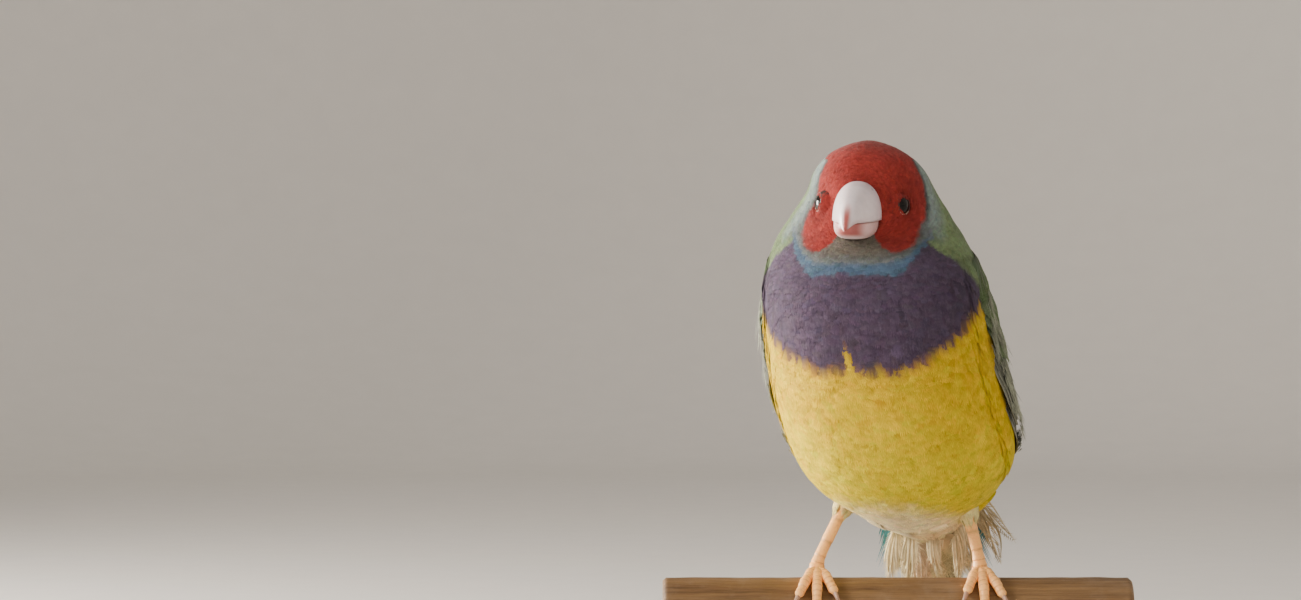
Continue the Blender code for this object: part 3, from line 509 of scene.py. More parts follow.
# shell is the closed form that tells which way is out, of which a tuft keeps only the seen faces
Template = namedtuple("Template", "u v lift faces shell rows")


def stitch(low, low_u, high, high_u):
    """Triangles that fill the band between two rows of corners that run the same way."""
    faces = []
    i = j = 0
    while i < len(low) - 1 or j < len(high) - 1:
        if j == len(high) - 1 or (i < len(low) - 1 and low_u[i] + low_u[i + 1] <= high_u[j] + high_u[j + 1]):
            faces.append((low[i], low[i + 1], high[j]))
            i += 1
        else:
            faces.append((low[i], high[j + 1], high[j]))
            j += 1
    return faces


def barbed_template(teeth, split, blunt, ridge):
    """A small feather, one sheet thick, whose end parts into teeth from the share split of its length.

    u runs across from -1 to 1, v along from 0 to 1, and lift is the crown of its top, 1 at its middle.
    """
    root_u = np.array([-0.6, 0.0, 0.6])
    middle_u = np.array([-0.96, -0.48, 0.0, 0.48, 0.96])
    fringe_u = np.linspace(-1.0, 1.0, 2 * teeth + 1)
    tip_u = (np.arange(teeth) + 0.5) * 2 / teeth - 1
    fringe_v = split + 0.10 * (1 - fringe_u**2)
    fringe_v[1::2] = (fringe_v[:-1:2] + fringe_v[2::2]) / 2 + 0.02
    tip_v = 1.0 - blunt * tip_u**2
    u = np.concatenate([root_u, middle_u, fringe_u, tip_u * 0.96])
    v = np.concatenate([np.zeros(3), np.full(5, split * 0.38), fringe_v, tip_v])
    lift = 1.0 - u**2
    lift[:3] = 0.0
    lift[[3, 7]] = 0.0
    fringe = np.arange(8, 9 + 2 * teeth)
    tips = np.arange(9 + 2 * teeth, 9 + 3 * teeth)
    lift[fringe] *= 0.8
    lift[fringe[0::2]] -= 0.25 * ridge
    lift[fringe[1::2]] += 0.75 * ridge
    lift[tips] *= 0.5
    middle = np.arange(3, 8)
    top = stitch(np.arange(3), root_u, middle, middle_u) + stitch(middle, middle_u, fringe, fringe_u)
    ends = [middle[0], middle[-1]]
    notches = fringe[0::2]
    under = stitch(np.arange(3), root_u, ends, [-1, 1]) + stitch(ends, [-1, 1], notches, fringe_u[0::2])
    for k, tip in enumerate(tips):
        top += [(fringe[2 * k], fringe[2 * k + 1], tip), (fringe[2 * k + 1], fringe[2 * k + 2], tip)]
        under.append((fringe[2 * k], fringe[2 * k + 2], tip))
    shell = np.array(top + [face[::-1] for face in under])
    rows = {"root": np.arange(3), "middle": middle, "notch": notches, "ridge": fringe[1::2], "tip": tips}
    return Template(u, v, lift, shell[:len(top)], shell, rows)


def vane_template(rows, half_columns, point):
    """A long flight feather: a ridged shaft between two webs, closed below, ending in a point."""
    inner = np.linspace(0.0, 1.0, half_columns + 1) ** 0.8
    across = np.concatenate([-inner[:0:-1], [-0.045, 0.0, 0.045], inner[1:]])
    columns = len(across)
    along = 1.0 - (1.0 - np.linspace(0.0, 1.0, rows + 1)[:-1]) ** 1.5
    width = (0.5 + 0.5 * np.minimum(1.0, along / 0.3)) * (1.0 - along**point) ** 0.75
    u = across[None, :] * width[:, None]
    v = np.repeat(along[:, None], columns, 1)
    crown = 1.0 - across**2
    lift = np.repeat(crown[None, :], rows, 0)
    lift[:, half_columns + 1] += 1.2
    top = np.arange(rows * columns).reshape(rows, columns)
    tip = rows * columns
    under = top.copy()
    start = tip + 1
    count = (rows - 1) * (columns - 2)
    under[1:, 1:-1] = start + np.arange(count).reshape(rows - 1, columns - 2)
    u = np.concatenate([u.ravel(), [0.0], u[1:, 1:-1].ravel()])
    v = np.concatenate([v.ravel(), [1.0], v[1:, 1:-1].ravel()])
    lift = np.concatenate([lift.ravel(), [0.5], lift[1:, 1:-1].ravel() - 1.6])
    faces = []
    for sheet, flip in ((top, False), (under, True)):
        corners = [sheet[:-1, :-1], sheet[:-1, 1:], sheet[1:, 1:], sheet[1:, :-1]]
        a, b, c, d = (corner.ravel() for corner in corners)
        band = np.concatenate([np.stack([a, b, c], -1), np.stack([a, c, d], -1)])
        last = np.stack([sheet[-1, :-1], sheet[-1, 1:], np.full(columns - 1, tip)], -1)
        band = np.concatenate([band, last])
        faces.append(band[:, ::-1] if flip else band)
    share = np.concatenate([np.repeat(across[None, :], rows, 0).ravel(), [0.0],
                            np.repeat(across[None, 1:-1], rows - 1, 0).ravel()])
    faces = np.concatenate(faces)
    return Template(u, v, lift, faces, faces, {"share": share, "edge": np.abs(share) > 0.99})


# Laying feathers on a form
def body_sheet(station, angle, out):
    return body.offset(np.clip(station, 0.06, CROWN - 0.06), angle, out)


def frame_at(sheet, p, q, step):
    """Directions of a form's two ways at places on it, and its outward normal."""
    flat = np.zeros_like(p)
    along = (sheet(p + step, q, flat) - sheet(p - step, q, flat)) / (2 * step)
    across = (sheet(p, q + step, flat) - sheet(p, q - step, flat)) / (2 * step)
    outward = unit(np.cross(along, across))
    sign = np.sign(np.einsum("...i,...i", outward, sheet(p, q, flat + 0.1) - sheet(p, q, flat)))
    return along, across, outward * sign[..., None]


def in_form(along, across, way):
    """A direction in space as steps of the form's two ways."""
    aa = np.einsum("ni,ni->n", along, along)
    bb = np.einsum("ni,ni->n", across, across)
    ab = np.einsum("ni,ni->n", along, across)
    a = np.einsum("ni,ni->n", along, way)
    b = np.einsum("ni,ni->n", across, way)
    whole = np.maximum(aa * bb - ab * ab, 1e-9)
    return (a * bb - b * ab) / whole, (b * aa - a * ab) / whole


def loosen(template, many, draw, loose):
    """Small differences of each feather's corners: its teeth part, and end sooner or later."""
    corners = len(template.u)
    u = np.tile(template.u, (many, 1))
    v = np.tile(template.v, (many, 1))
    lift = np.zeros((many, corners))
    tips = template.rows["tip"]
    teeth = len(tips)
    # A tip stays between its notches and beyond them, so that no tooth folds over
    sway = 0.5 / teeth
    u[:, tips] += np.clip(draw.normal(0, 0.6 * loose / teeth, (many, teeth)), -sway, sway)
    v[:, tips] += np.clip(draw.normal(0, 0.05 * loose, (many, teeth)), -0.05, 0.12)
    notches = template.rows["notch"]
    v[:, notches] += draw.uniform(-0.10, 0.05, (many, len(notches))) * loose
    lift[:, tips] -= np.abs(draw.normal(0, 0.05 * loose, (many, teeth)))
    return u, v, lift


Laid = namedtuple("Laid", "points p q")


def flattened(heading, outward, length, width, low, high, template, draw, camber, loose, rise):
    """Each feather's ways along and across its form, and its corners' places in them and heights over it."""
    way = unit(heading - outward * np.einsum("ni,ni->n", heading, outward)[:, None])
    u, v, lift = loosen(template, len(outward), draw, loose)
    out = low[:, None] + (high - low)[:, None] * np.clip(v, 0.0, 1.2) ** rise
    out = out + camber * template.lift[None, :] + lift
    return way, np.cross(outward, way), v * length[:, None], u * width[:, None] / 2, out


def lay(sheet, p, q, heading, length, width, low, high, template, draw, camber, loose=1.0, rise=0.75,
        step=0.02):
    """Feathers rooted at (p, q) on a form, lying along heading and following the form to their tips."""
    along, across, outward = frame_at(sheet, p, q, step)
    way, side, reach, spread, out = flattened(heading, outward, length, width, low, high, template, draw,
                                              camber, loose, rise)
    way_p, way_q = in_form(along, across, way)
    side_p, side_q = in_form(along, across, side)
    place_p = p[:, None] + way_p[:, None] * reach + side_p[:, None] * spread
    place_q = q[:, None] + way_q[:, None] * reach + side_q[:, None] * spread
    return Laid(sheet(place_p, place_q, out), place_p, place_q)


def lay_free(root, heading, outward, length, width, low, high, template, draw, radius, camber, rise):
    """Feathers on a rounded place that has no two ways, such as the crown: they bend with its radius."""
    way, side, reach, spread, out = flattened(heading, outward, length, width, low, high, template, draw,
                                              camber, 1.0, rise)
    out = out - (reach**2 + spread**2) / (2 * radius)
    points = (root[:, None] + way[:, None] * reach[..., None] + side[:, None] * spread[..., None]
              + outward[:, None] * out[..., None])
    return Laid(points, None, None)


FEATHER_VARIETY = 0.09


def feather_tints(laid, base, template, draw, dark_root=0.5, tip_light=0.14):
    """Each feather's colours: darker towards its root, partly its greyer base and partly painted shade under
    the feathers over it, with lighter ends, painted shade in its notches, a little painted highlight on its
    ridges and small differences tooth by tooth.
    """
    many = len(laid.points)
    # Darker towards the root: partly the feather's greyer base, partly painted shade under the feathers over
    # it
    shade = dark_root + (1 - dark_root) * smoothstep(template.v / 0.65)
    shade = np.tile(shade, (many, 1))
    tips, notches, ridges = (template.rows[key] for key in ("tip", "notch", "ridge"))
    shade[:, tips] *= 1.0 + tip_light + draw.normal(0, 0.10, (many, len(tips)))
    # Ridges a little lighter on the whole, as painted highlight on their crests, and differing at random
    shade[:, ridges] *= 1.0 + draw.normal(0.03, 0.06, (many, len(ridges)))
    # Painted shade in the notches between the teeth
    shade[:, notches] *= 0.94
    shade *= np.clip(draw.normal(1.0, FEATHER_VARIETY, (many, 1)), 0.7, 1.35)
    hue = 1.0 + draw.normal(0, 0.035, (many, 1, 3))
    return (base if base.ndim == 3 else base[:, None, :]) * hue * shade[..., None]


# Places of the body's feathers
WING_LEAD = ((2.7, 110), (4.0, 93), (5.4, 84), (6.6, 82), (8.2, 86))
WING_REAR = ((2.7, 172), (4.0, 168), (5.5, 162), (6.9, 149), (8.4, 130))
WING_STATIONS = (3.2, 7.9)
FAR_OFF = 99.0
LID_INNER = 1.55
LID_OUTER = 1.80
CAP_STATION = 12.6
CROWN_RADIUS = 10.5
CANDIDATES = 5
# The space between tufts: a share of their length, and millimetres more
SPACING = (0.155, 0.13)

FEATHER_LENGTH = ((0, 5.0), (3, 5.0), (5, 4.6), (6.5, 4.0), (7.8, 3.3), (8.6, 2.6), (9.2, 2.0), (10, 1.65),
                  (11, 1.4), (14, 1.5))


def eye_seat(side):
    """Where an eye sits: its centre, and the direction it looks, more sideways than the face there."""
    station, angle = np.array(EYE_STATION), np.array(side * EYE_ANGLE)
    outward = body.normal(station, angle)
    return body.point(station, angle) - outward * EYE_SUNK, unit(outward * [GAZE_SIDEWAYS, 1.0, 1.0])


def eye_frame(side):
    """An eye's centre, the direction it looks, and the directions up and forward across that."""
    centre, gaze = eye_seat(side)
    upward = unit(np.array([0.0, 0.0, 1.0]) - gaze * gaze[2])
    return centre, gaze, upward, np.cross(upward, gaze)


def from_eyes(point):
    """Distance of points from the nearer eye's axis, and the direction away from it."""
    best = np.full(point.shape[:-1], FAR_OFF)
    away = np.zeros_like(point)
    for side in (1, -1):
        centre, outward = eye_seat(side)
        rel = point - centre
        radial = rel - outward * (rel @ outward)[..., None]
        distance = np.where(rel @ outward > 0, np.linalg.norm(radial, axis=-1), FAR_OFF)
        nearer = distance < best
        best = np.where(nearer, distance, best)
        away = np.where(nearer[..., None], unit(radial), away)
    return best, away


def lid_rise(point, outward):
    """How far the eyes' lids stand over points of the body form, along its outward direction."""
    rise = np.zeros(point.shape[:-1])
    for side in (1, -1):
        rel = point - eye_seat(side)[0]
        over = (rel * outward).sum(-1)
        inside = (EYE_RADIUS + LID_THICKNESS + 0.08) ** 2 - (rel * rel).sum(-1) + over**2
        rise = np.maximum(rise, np.where(inside > 0, np.sqrt(np.maximum(inside, 0.0)) - over, 0.0))
    return rise


def lidded_sheet(station, angle, out):
    """The body form with the eyes' lids standing out of it."""
    rise = lid_rise(body.point(station, angle), body.normal(station, angle))
    return body.offset(station, angle, out + rise)


def from_bill(point):
    """How far points of the face lie from the bill's outline there, in millimetres, below 0 inside it."""
    x, forward, z = np.moveaxis(point, -1, 0)
    rel_f, rel_z = forward - BILL_ROOT[0], z - BILL_ROOT[1]
    rise = rel_f * math.sin(BILL_DROP) + rel_z * math.cos(BILL_DROP) - MOUTH_RISE
    tall = np.where(rise > 0, UPPER_RISE, LOWER_DROP + 0.3)
    share = np.sqrt((x / (BILL_WIDTH / 2)) ** 2 + (rise / tall) ** 2)
    return np.where(forward > 12.0, (share - 1.0) * (BILL_WIDTH / 2), 9.0)


def feather_length(station, angle, point):
    length = table(FEATHER_LENGTH, station)
    back = smoothstep((np.degrees(np.abs(angle)) - 80.0) / 40.0) * smoothstep((9.6 - station) / 1.5)
    near_bill = 0.55 + 0.45 * smoothstep(from_bill(point) / 3.5)
    return length * (1.0 + 0.2 * back) * near_bill


def feather_spacing(length):
    return (SPACING[0] * length + SPACING[1]) / bpy.context.scene.finch_coat.density


def bare(station, angle, point):
    """Places without feathers: in the lids, under the bill's root and under the folded wings."""
    side = np.degrees(np.abs((angle + math.pi) % math.tau - math.pi))
    eye, _ = from_eyes(point)
    wing = (side > table(WING_LEAD, station) + 9) & (side < table(WING_REAR, station) - 12)
    wing &= (station > WING_STATIONS[0]) & (station < WING_STATIONS[1])
    return (eye < LID_OUTER - 0.15) | (from_bill(point) < -0.15) | wing


def scatter(seed):
    """Places evenly spread over the body form, closer where its feathers are shorter."""
    draw = np.random.default_rng(seed)
    stations = np.linspace(0.08, CROWN - 0.08, 281)
    angles = np.linspace(-math.pi, math.pi, 361)
    s, a = np.meshgrid((stations[1:] + stations[:-1]) / 2, (angles[1:] + angles[:-1]) / 2, indexing="ij")
    grid = body.point(*np.meshgrid(stations, angles, indexing="ij"))
    along = grid[1:, :-1] - grid[:-1, :-1]
    around = grid[:-1, 1:] - grid[:-1, :-1]
    area = np.linalg.norm(np.cross(along, around), axis=-1)
    middle = body.point(s, a)
    spacing = feather_spacing(feather_length(s, a, middle))
    weight = (area / spacing**2 * ~bare(s, a, middle)).ravel()
    many = int(weight.sum() * CANDIDATES)
    cell = np.searchsorted(np.cumsum(weight) / weight.sum(), draw.random(many))
    cell = np.minimum(cell, weight.size - 1)
    s = s.ravel()[cell] + (draw.random(many) - 0.5) * (stations[1] - stations[0])
    a = a.ravel()[cell] + (draw.random(many) - 0.5) * (angles[1] - angles[0])
    points = body.point(s, a)
    spacing = feather_spacing(feather_length(s, a, points))
    tree = tree_of(points)
    free = np.ones(many, bool)
    for i in range(many):
        if free[i]:
            for _, j, _ in tree.find_range(points[i], spacing[i]):
                if j > i:
                    free[j] = False
    return s[free], a[free], points[free]


BILL_HEART = np.array([0.0, 18.5, 70.8])
BACKWARD = np.array([0.0, -0.55, -1.15])


def flow(station, angle, point):
    """Which way the feathers lie: tailward over the body, and away from the bill and round the eyes."""
    low, high = np.maximum(station - 0.05, 0.02), np.minimum(station + 0.05, CROWN - 0.02)
    tailward = unit(body.point(low, angle) - body.point(high, angle))
    away = point - BILL_HEART
    far = smoothstep((np.linalg.norm(away, axis=-1) - 5.0) / 9.0)
    head = unit(unit(away) + far[:, None] * BACKWARD)
    way = mix(tailward, head, smoothstep((station - 8.4) / 1.4))
    eye, radial = from_eyes(point)
    toward = np.minimum(np.einsum("ni,ni->n", way, radial), 0.0)
    near = smoothstep((5.2 - eye) / 2.4)
    way = way - radial * (toward * near)[:, None] + radial * (0.35 * near)[:, None]
    # The breast parts a little, and the belly's feathers fan out at the sides
    x, z = point[:, 0] - PARTING_X, point[:, 2]
    parting = np.exp(-np.abs(x) / 1.8) * smoothstep((54 - z) / 6) * smoothstep((z - 36) / 4)
    way[:, 0] += 0.30 * (x * parting)
    return way


# Tracts of the body's feathers, each of them one mesh
Tract = namedtuple("Tract", "teeth split blunt ridge slot material")
TRACTS = {
    "face": Tract(5, 0.74, 0.16, 0.25, "red_plumage", "velvet"),
    "crown": Tract(5, 0.74, 0.16, 0.25, "red_plumage", "velvet"),
    "nape": Tract(6, 0.74, 0.16, 0.3, "turquoise_plumage", "velvet"),
    "breast": Tract(8, 0.76, 0.18, 0.3, "turquoise_plumage", "soft"),
    "belly": Tract(8, 0.66, 0.24, 0.35, "yellow_plumage", "silky"),
    "flank_left": Tract(8, 0.62, 0.26, 0.4, "yellow_plumage", "silky"),
    "flank_right": Tract(8, 0.62, 0.26, 0.4, "yellow_plumage", "silky"),
    "mantle": Tract(8, 0.76, 0.18, 0.3, "green_plumage", "soft"),
    "rump": Tract(8, 0.70, 0.20, 0.35, "turquoise_plumage", "soft"),
    "vent": Tract(7, 0.40, 0.36, 0.5, "pale_plumage", "silky"),
}


def tract_of(station, angle):
    """The name of the tract that each place belongs to."""
    side = np.degrees((angle + math.pi) % math.tau - math.pi)
    wide = np.abs(side)
    names = np.full(len(station), "breast", dtype=object)
    names[station < 6.3] = "belly"
    names[(station < 6.3) & (side > 38)] = "flank_left"
    names[(station < 6.3) & (side < -38)] = "flank_right"
    names[(station < 3.1) & (wide < 120)] = "vent"
    names[(station < 4.6) & (wide >= 125)] = "rump"
    names[(station >= 4.6) & (station < 8.3) & (wide > 100)] = "mantle"
    names[station >= 8.3] = "nape"
    names[(station >= 9.2) & (wide < 75)] = "face"
    names[station >= 11.9] = "crown"
    return names


def unwrap(station, angle):
    """Places on an unwrap of the body form, for the maps that colours are baked to."""
    turned = (angle + math.pi) % math.tau / math.tau
    return np.stack([0.01 + 0.98 * turned, 0.01 + 0.98 * station / CROWN], axis=-1)


# A tuft's width: a share of its length, and millimetres more
TUFT_WIDTH = (0.60, 0.34)
CAMBER_SHARE = 0.015
WING_COVER = 0.6
# A lower LIE lays the feathers' ends flatter, and a higher OWN_COLOUR keeps each to its own place's colour
LIE = 0.22
OWN_COLOUR = 0.55


def wing_cover(station, side):
    """Where the body's feathers fluff up over the edges of the folded wing, from 0 to 1."""
    lead = table(WING_LEAD, station)
    front = smoothstep((side - lead + 15.0) / 9.0) * (1.0 - smoothstep((side - lead - 5.0) / 6.0))
    front *= smoothstep((station - 2.6) / 0.6) * smoothstep((8.6 - station) / 0.4)
    top = np.exp(-(((station - 8.45) / 0.45) ** 2)) * smoothstep((side - 72.0) / 10.0)
    return np.clip(np.maximum(front, 0.8 * top * smoothstep((148.0 - side) / 20.0)), 0.0, 1.0)


def make_coat():
    """The body's own feathers, tract by tract."""
    station, angle, point = scatter(SEED)
    tract = tract_of(station, angle)
    outward = body.normal(station, angle)
    heading = flow(station, angle, point)
    length = feather_length(station, angle, point)
    depth = coat_depth(station)
    side = np.degrees(np.abs((angle + math.pi) % math.tau - math.pi))
    for number, (name, kind) in enumerate(TRACTS.items()):
        draw = np.random.default_rng(SEED + 10 + number)
        template = barbed_template(kind.teeth, kind.split, kind.blunt, kind.ridge)
        batch = Barbs()
        for capped in (False, True):
            chosen = (tract == name) & ((station > CAP_STATION) == capped)
            if not chosen.any():
                continue
            s, a, root, out = station[chosen], angle[chosen], point[chosen], outward[chosen]
            many = len(s)
            long = length[chosen] * draw.normal(1.0, 0.07, many)
            wide = (TUFT_WIDTH[0] * long + TUFT_WIDTH[1]) * draw.normal(1.0, 0.06, many)
            way = heading[chosen] + draw.normal(0, 0.09, (many, 3))
            low = -depth[chosen] - 0.12
            tip_height = 0.07 * wave(root, 6.0, 21) + draw.normal(0.0, 0.03, many) * depth[chosen]
            if name == "vent":
                way += draw.normal(0, 0.16, (many, 3))
                tip_height += np.abs(draw.normal(0, 0.35, many))
            if name in ("breast", "nape"):
                # The lower edges of the purple and of the blue stand a little over what lies below
                over = np.exp(-((root[:, 2] - table(BREAST_FOOT, side[chosen]) - 2.6) / 1.6) ** 2)
                tip_height += 0.22 * over
            camber = CAMBER_SHARE * float(np.median(long))
            tuck = wing_cover(s, side[chosen])
            tip_height += WING_COVER * tuck
            long *= 1.0 + 0.35 * tuck
            eye, _ = from_eyes(root)
            long *= 0.55 + 0.45 * smoothstep((eye - LID_OUTER) / 1.6)
            if capped:
                low += lid_rise(root, out)
                laid = lay_free(root, way, out, long, wide, low, tip_height, template, draw,
                                CROWN_RADIUS, camber, rise=LIE)
                seen_s, seen_a = s[:, None], a[:, None]
            else:
                sheet = lidded_sheet if name in ("face", "crown") else body_sheet
                laid = lay(sheet, s, a, way, long, wide, low, tip_height, template, draw, camber, rise=LIE)
                ends = template.rows["tip"]
                end_s, end_a = laid.p[:, ends].mean(1)[:, None], laid.q[:, ends].mean(1)[:, None]
                seen_s = np.clip(end_s + (laid.p - end_s) * OWN_COLOUR, 0.1, CROWN - 0.1)
                seen_a = end_a + (laid.q - end_a) * OWN_COLOUR
            base = markings(seen_s, seen_a, body.point(seen_s, seen_a))
            tints = feather_tints(laid, base, template, draw, dark_root=0.72)
            batch.add(template, pose(laid.points), tints, unwrap(s, a))
        piece = batch.make(f"coat_{name}", plumage(kind.material), 55)
        place_piece(piece, kind.slot)


# Skin under the coat, and the eyes' lids
SKIN_RINGS = 180
SKIN_ROWS = 150
SKIN_AROUND = 160
LID_DARK = (0.030, 0.015, 0.013)
LID_PALE = (0.50, 0.30, 0.24)
LID_OPEN = math.radians(31.0)
LID_REACH = math.radians(74.0)
LID_THICKNESS = 0.13
LID_STEPS = 64


def skin_bmesh():
    """The body form without its poles' last turns, inside the feathers' tips by the coat's depth."""
    stations = np.linspace(0.0, CROWN, SKIN_RINGS + 2)[1:-1]
    angles = np.arange(SKIN_AROUND) * math.tau / SKIN_AROUND
    out = np.repeat(-coat_depth(stations)[:, None], SKIN_AROUND, 1)
    points = body.offset(stations[:, None], angles[None, :], out)
    for side in (1, -1):
        centre, gaze = eye_seat(side)
        rel = points - centre
        height = rel @ gaze
        radial = np.linalg.norm(rel - height[..., None] * gaze, axis=-1)
        near = (radial < LID_INNER + 0.5) & (height > 0)
        sunk = smoothstep((LID_INNER + 0.5 - radial) / 0.5)
        points = np.where(near[..., None], points - gaze * (1.6 * sunk)[..., None], points)
    foot = body.centre_line(0.0) + np.array([0.0, 0.5, 0.866]) * coat_depth(0.0)
    crown = body.centre_line(CROWN) - np.array([0.0, 0.0, 1.0]) * coat_depth(CROWN)
    return ring_bmesh(points, foot, crown)


def skin_shade_paint(points):
    """The plumage's colours at half brightness, for the skin right under it: painted shade in the gaps
    between the feathers.
    """
    stations, angles = np.meshgrid(np.linspace(0.1, CROWN - 0.1, SKIN_ROWS),
                                   np.linspace(-math.pi, math.pi, SKIN_AROUND), indexing="ij")
    stations, angles = stations.ravel(), angles.ravel()
    surface = body.point(stations, angles)
    tree = tree_of(surface)
    nearest = np.array([tree.find(point)[1] for point in points])
    # Halved: painted shade for the gaps between the feathers
    return markings(stations[nearest], angles[nearest], surface[nearest]) * 0.5


def lid_bmesh(side):
    """An eye's lids: a thin shell that hugs the eyeball, with a rolled rim round its opening."""
    centre, gaze, upward, forward = eye_frame(side)
    mesh = bmesh.new()
    outline = [(tilt, EYE_RADIUS + LID_THICKNESS) for tilt in np.linspace(LID_REACH, LID_OPEN + 0.05, 9)]
    outline += [(LID_OPEN + 0.02, EYE_RADIUS + LID_THICKNESS * 1.35), (LID_OPEN - 0.025, EYE_RADIUS + 0.13)]
    outline += [(tilt, EYE_RADIUS + 0.02) for tilt in np.linspace(LID_OPEN, LID_REACH, 6)]
    profile = [mesh.verts.new((tilt, 0.0, radius)) for tilt, radius in outline]
    edges = [mesh.edges.new(pair) for pair in zip(profile, profile[1:] + profile[:1])]
    bmesh.ops.spin(
        mesh, geom=profile + edges, cent=(0, 0, 0), axis=(0, 0, 1), dvec=(0, 0, 0),
        angle=math.tau, steps=LID_STEPS, use_merge=True, use_duplicate=False,
    )
    bmesh.ops.remove_doubles(mesh, verts=mesh.verts[:], dist=1e-5)
    for vert in mesh.verts:
        turn = math.atan2(vert.co.y, vert.co.x)
        tilt = math.hypot(vert.co.x, vert.co.y)
        rim = max(0.0, 1.0 - (tilt - LID_OPEN) / 0.25)
        squeeze = 0.085 * abs(math.sin(turn)) ** 1.5 - 0.045 * abs(math.cos(turn)) ** 6
        tilt += squeeze * min(rim, 1.0)
        low = max(0.0, -math.sin(turn))
        over = vert.co.z - EYE_RADIUS
        radius = EYE_RADIUS + over * (1.0 + 0.5 * low * rim + 0.18 * math.sin(turn * 31) * rim)
        along = forward * math.cos(turn) + upward * math.sin(turn)
        vert.co = centre + (along * math.sin(tilt) + gaze * math.cos(tilt)) * radius
    bmesh.ops.recalc_face_normals(mesh, faces=mesh.faces[:])
    return mesh


def lid_paint(points):
    """Dark lids, with a paler crescent below the eye."""
    paint = np.tile(LID_DARK, (len(points), 1))
    for side in (1, -1):
        centre, gaze, upward, _ = eye_frame(side)
        rel = points - centre
        near = np.linalg.norm(rel, axis=-1)
        tilt = np.arccos(np.clip(rel @ gaze / near, -1.0, 1.0))
        low = smoothstep((-(rel @ upward) - 0.95) / 0.4) * smoothstep((LID_OPEN + 0.19 - tilt) / 0.06)
        paint = mix(paint, LID_PALE, 0.75 * low * (near < EYE_RADIUS + 1.0))
    return paint


def make_skin():
    skin = bmesh_object("skin", skin_bmesh(), [plumage("skin")], paint=skin_shade_paint)
    place_piece(skin, "yellow_plumage", "torso", "neck", "head", "thigh_left", "thigh_right")
    for side, name in ((1, "left"), (-1, "right")):
        lids = bmesh_object(f"lids_{name}", lid_bmesh(side), [lid_material()], paint=lid_paint)
        place_piece(lids, "flesh_skin")


# Wings: the sheet that the solids' feathers lie on
WING_ROWS = (
    ((8.15, 86, 0.3), (8.35, 106, 0.5), (8.5, 132, 0.3)),
    ((6.6, 82, 0.5), (6.9, 112, 0.8), (7.4, 151, 0.5)),
    ((5.35, 84, 0.8), (5.5, 122, 1.0), (5.9, 164, 0.6)),
    ((4.0, 93, 1.2), (4.1, 133, 1.2), (4.4, 170, 0.7)),
    ((2.7, 110, 1.6), (2.8, 146, 1.3), (3.0, 173, 0.9)),
)
WING_TIP = ((6.6, -29.2, 6.0), (5.2, -30.6, 5.8), (3.4, -31.4, 6.4))
WING = np.array(
    [[body.offset(s, math.radians(a), out) for s, a, out in row] for row in WING_ROWS]
    + [[np.array(point) for point in WING_TIP]]
)
WING_KNOTS = np.linspace(0.0, 1.0, len(WING))


def wing_place(along, across):
    along, across = np.broadcast_arrays(np.asarray(along, float), np.asarray(across, float))
    row = spline(WING_KNOTS, WING.reshape(len(WING), -1), along).reshape(*along.shape, 3, 3)
    q = across[..., None]
    lead, middle, rear = row[..., 0, :], row[..., 1, :], row[..., 2, :]
    return lead * (1 - q) * (1 - 2 * q) + middle * 4 * q * (1 - q) + rear * q * (2 * q - 1)


def wing_sheet(side):
    """The left or right wing's sheet. along is 0 at the wrist and 1 at the tip, across 1 at the back."""
    def sheet(along, across, height):
        step = 0.01
        length = wing_place(along + step, across) - wing_place(along - step, across)
        width = wing_place(along, across + step) - wing_place(along, across - step)
        outward = unit(np.cross(length, width))
        place = wing_place(along, across) - outward * np.asarray(height)[..., None]
        return place * np.array([side, 1.0, 1.0])
    return sheet


TAIL_ROOT = np.array([0.0, -19.0, 11.5])
TAIL_SLOPE = math.radians(65.0)
TAIL_LENGTHS = (55.0, 42.0, 40.5, 39.0, 37.0, 35.0)
TAIL_WIDTHS = (4.0, 4.6, 4.6, 4.4, 4.2, 4.0)
TAIL_STEP = 0.36
TAIL_SPREAD = 0.95


def tail_sheet(along, across, height):
    """A point of the tail, in millimetres: along it, to the bird's left, and over its upper side."""
    along, across, height = np.broadcast_arrays(along, across, height)
    down = np.array([0.0, -math.cos(TAIL_SLOPE), -math.sin(TAIL_SLOPE)])
    up = np.array([0.0, -math.sin(TAIL_SLOPE), math.cos(TAIL_SLOPE)])
    left = np.array([1.0, 0.0, 0.0])
    return TAIL_ROOT + along[..., None] * down + across[..., None] * left + height[..., None] * up


def under_tail_sheet(along, across, height):
    return tail_sheet(along, across, -np.asarray(height) - 1.2)


def lay_between(sheet, roots, tips, half_widths, lows, highs, template, draw, camber=0.12, bow=0.0, tilt=0.2):
    """Long feathers from roots to tips, as (along, across) places on a sheet."""
    many, corners = len(roots), len(template.u)
    v = np.tile(template.v, (many, 1))
    u = np.tile(template.u, (many, 1))
    noise = draw.random((many, corners))
    nicks = np.where(noise > 0.95, 0.28, 0.05 * noise)
    u *= 1.0 - np.where(template.rows["edge"], nicks, 0.0)
    v += np.where(template.rows["edge"], draw.normal(0, 0.004, (many, corners)), 0.0)
    along = roots[:, :1] + (tips - roots)[:, :1] * v
    across = roots[:, 1:] + (tips - roots)[:, 1:] * v + np.reshape(bow, (-1, 1)) * np.sin(math.pi * v)
    step = 1e-3
    flat = np.zeros_like(along)
    span = np.linalg.norm(sheet(along, across + step, flat) - sheet(along, across - step, flat), axis=-1)
    across = across + u * half_widths[:, None] * 2 * step / span
    share = template.rows["share"][None, :]
    height = lows[:, None] + (highs - lows)[:, None] * smoothstep(v / 0.6) - tilt * share
    return Laid(sheet(along, across, height + camber * template.lift[None, :]), along, across)


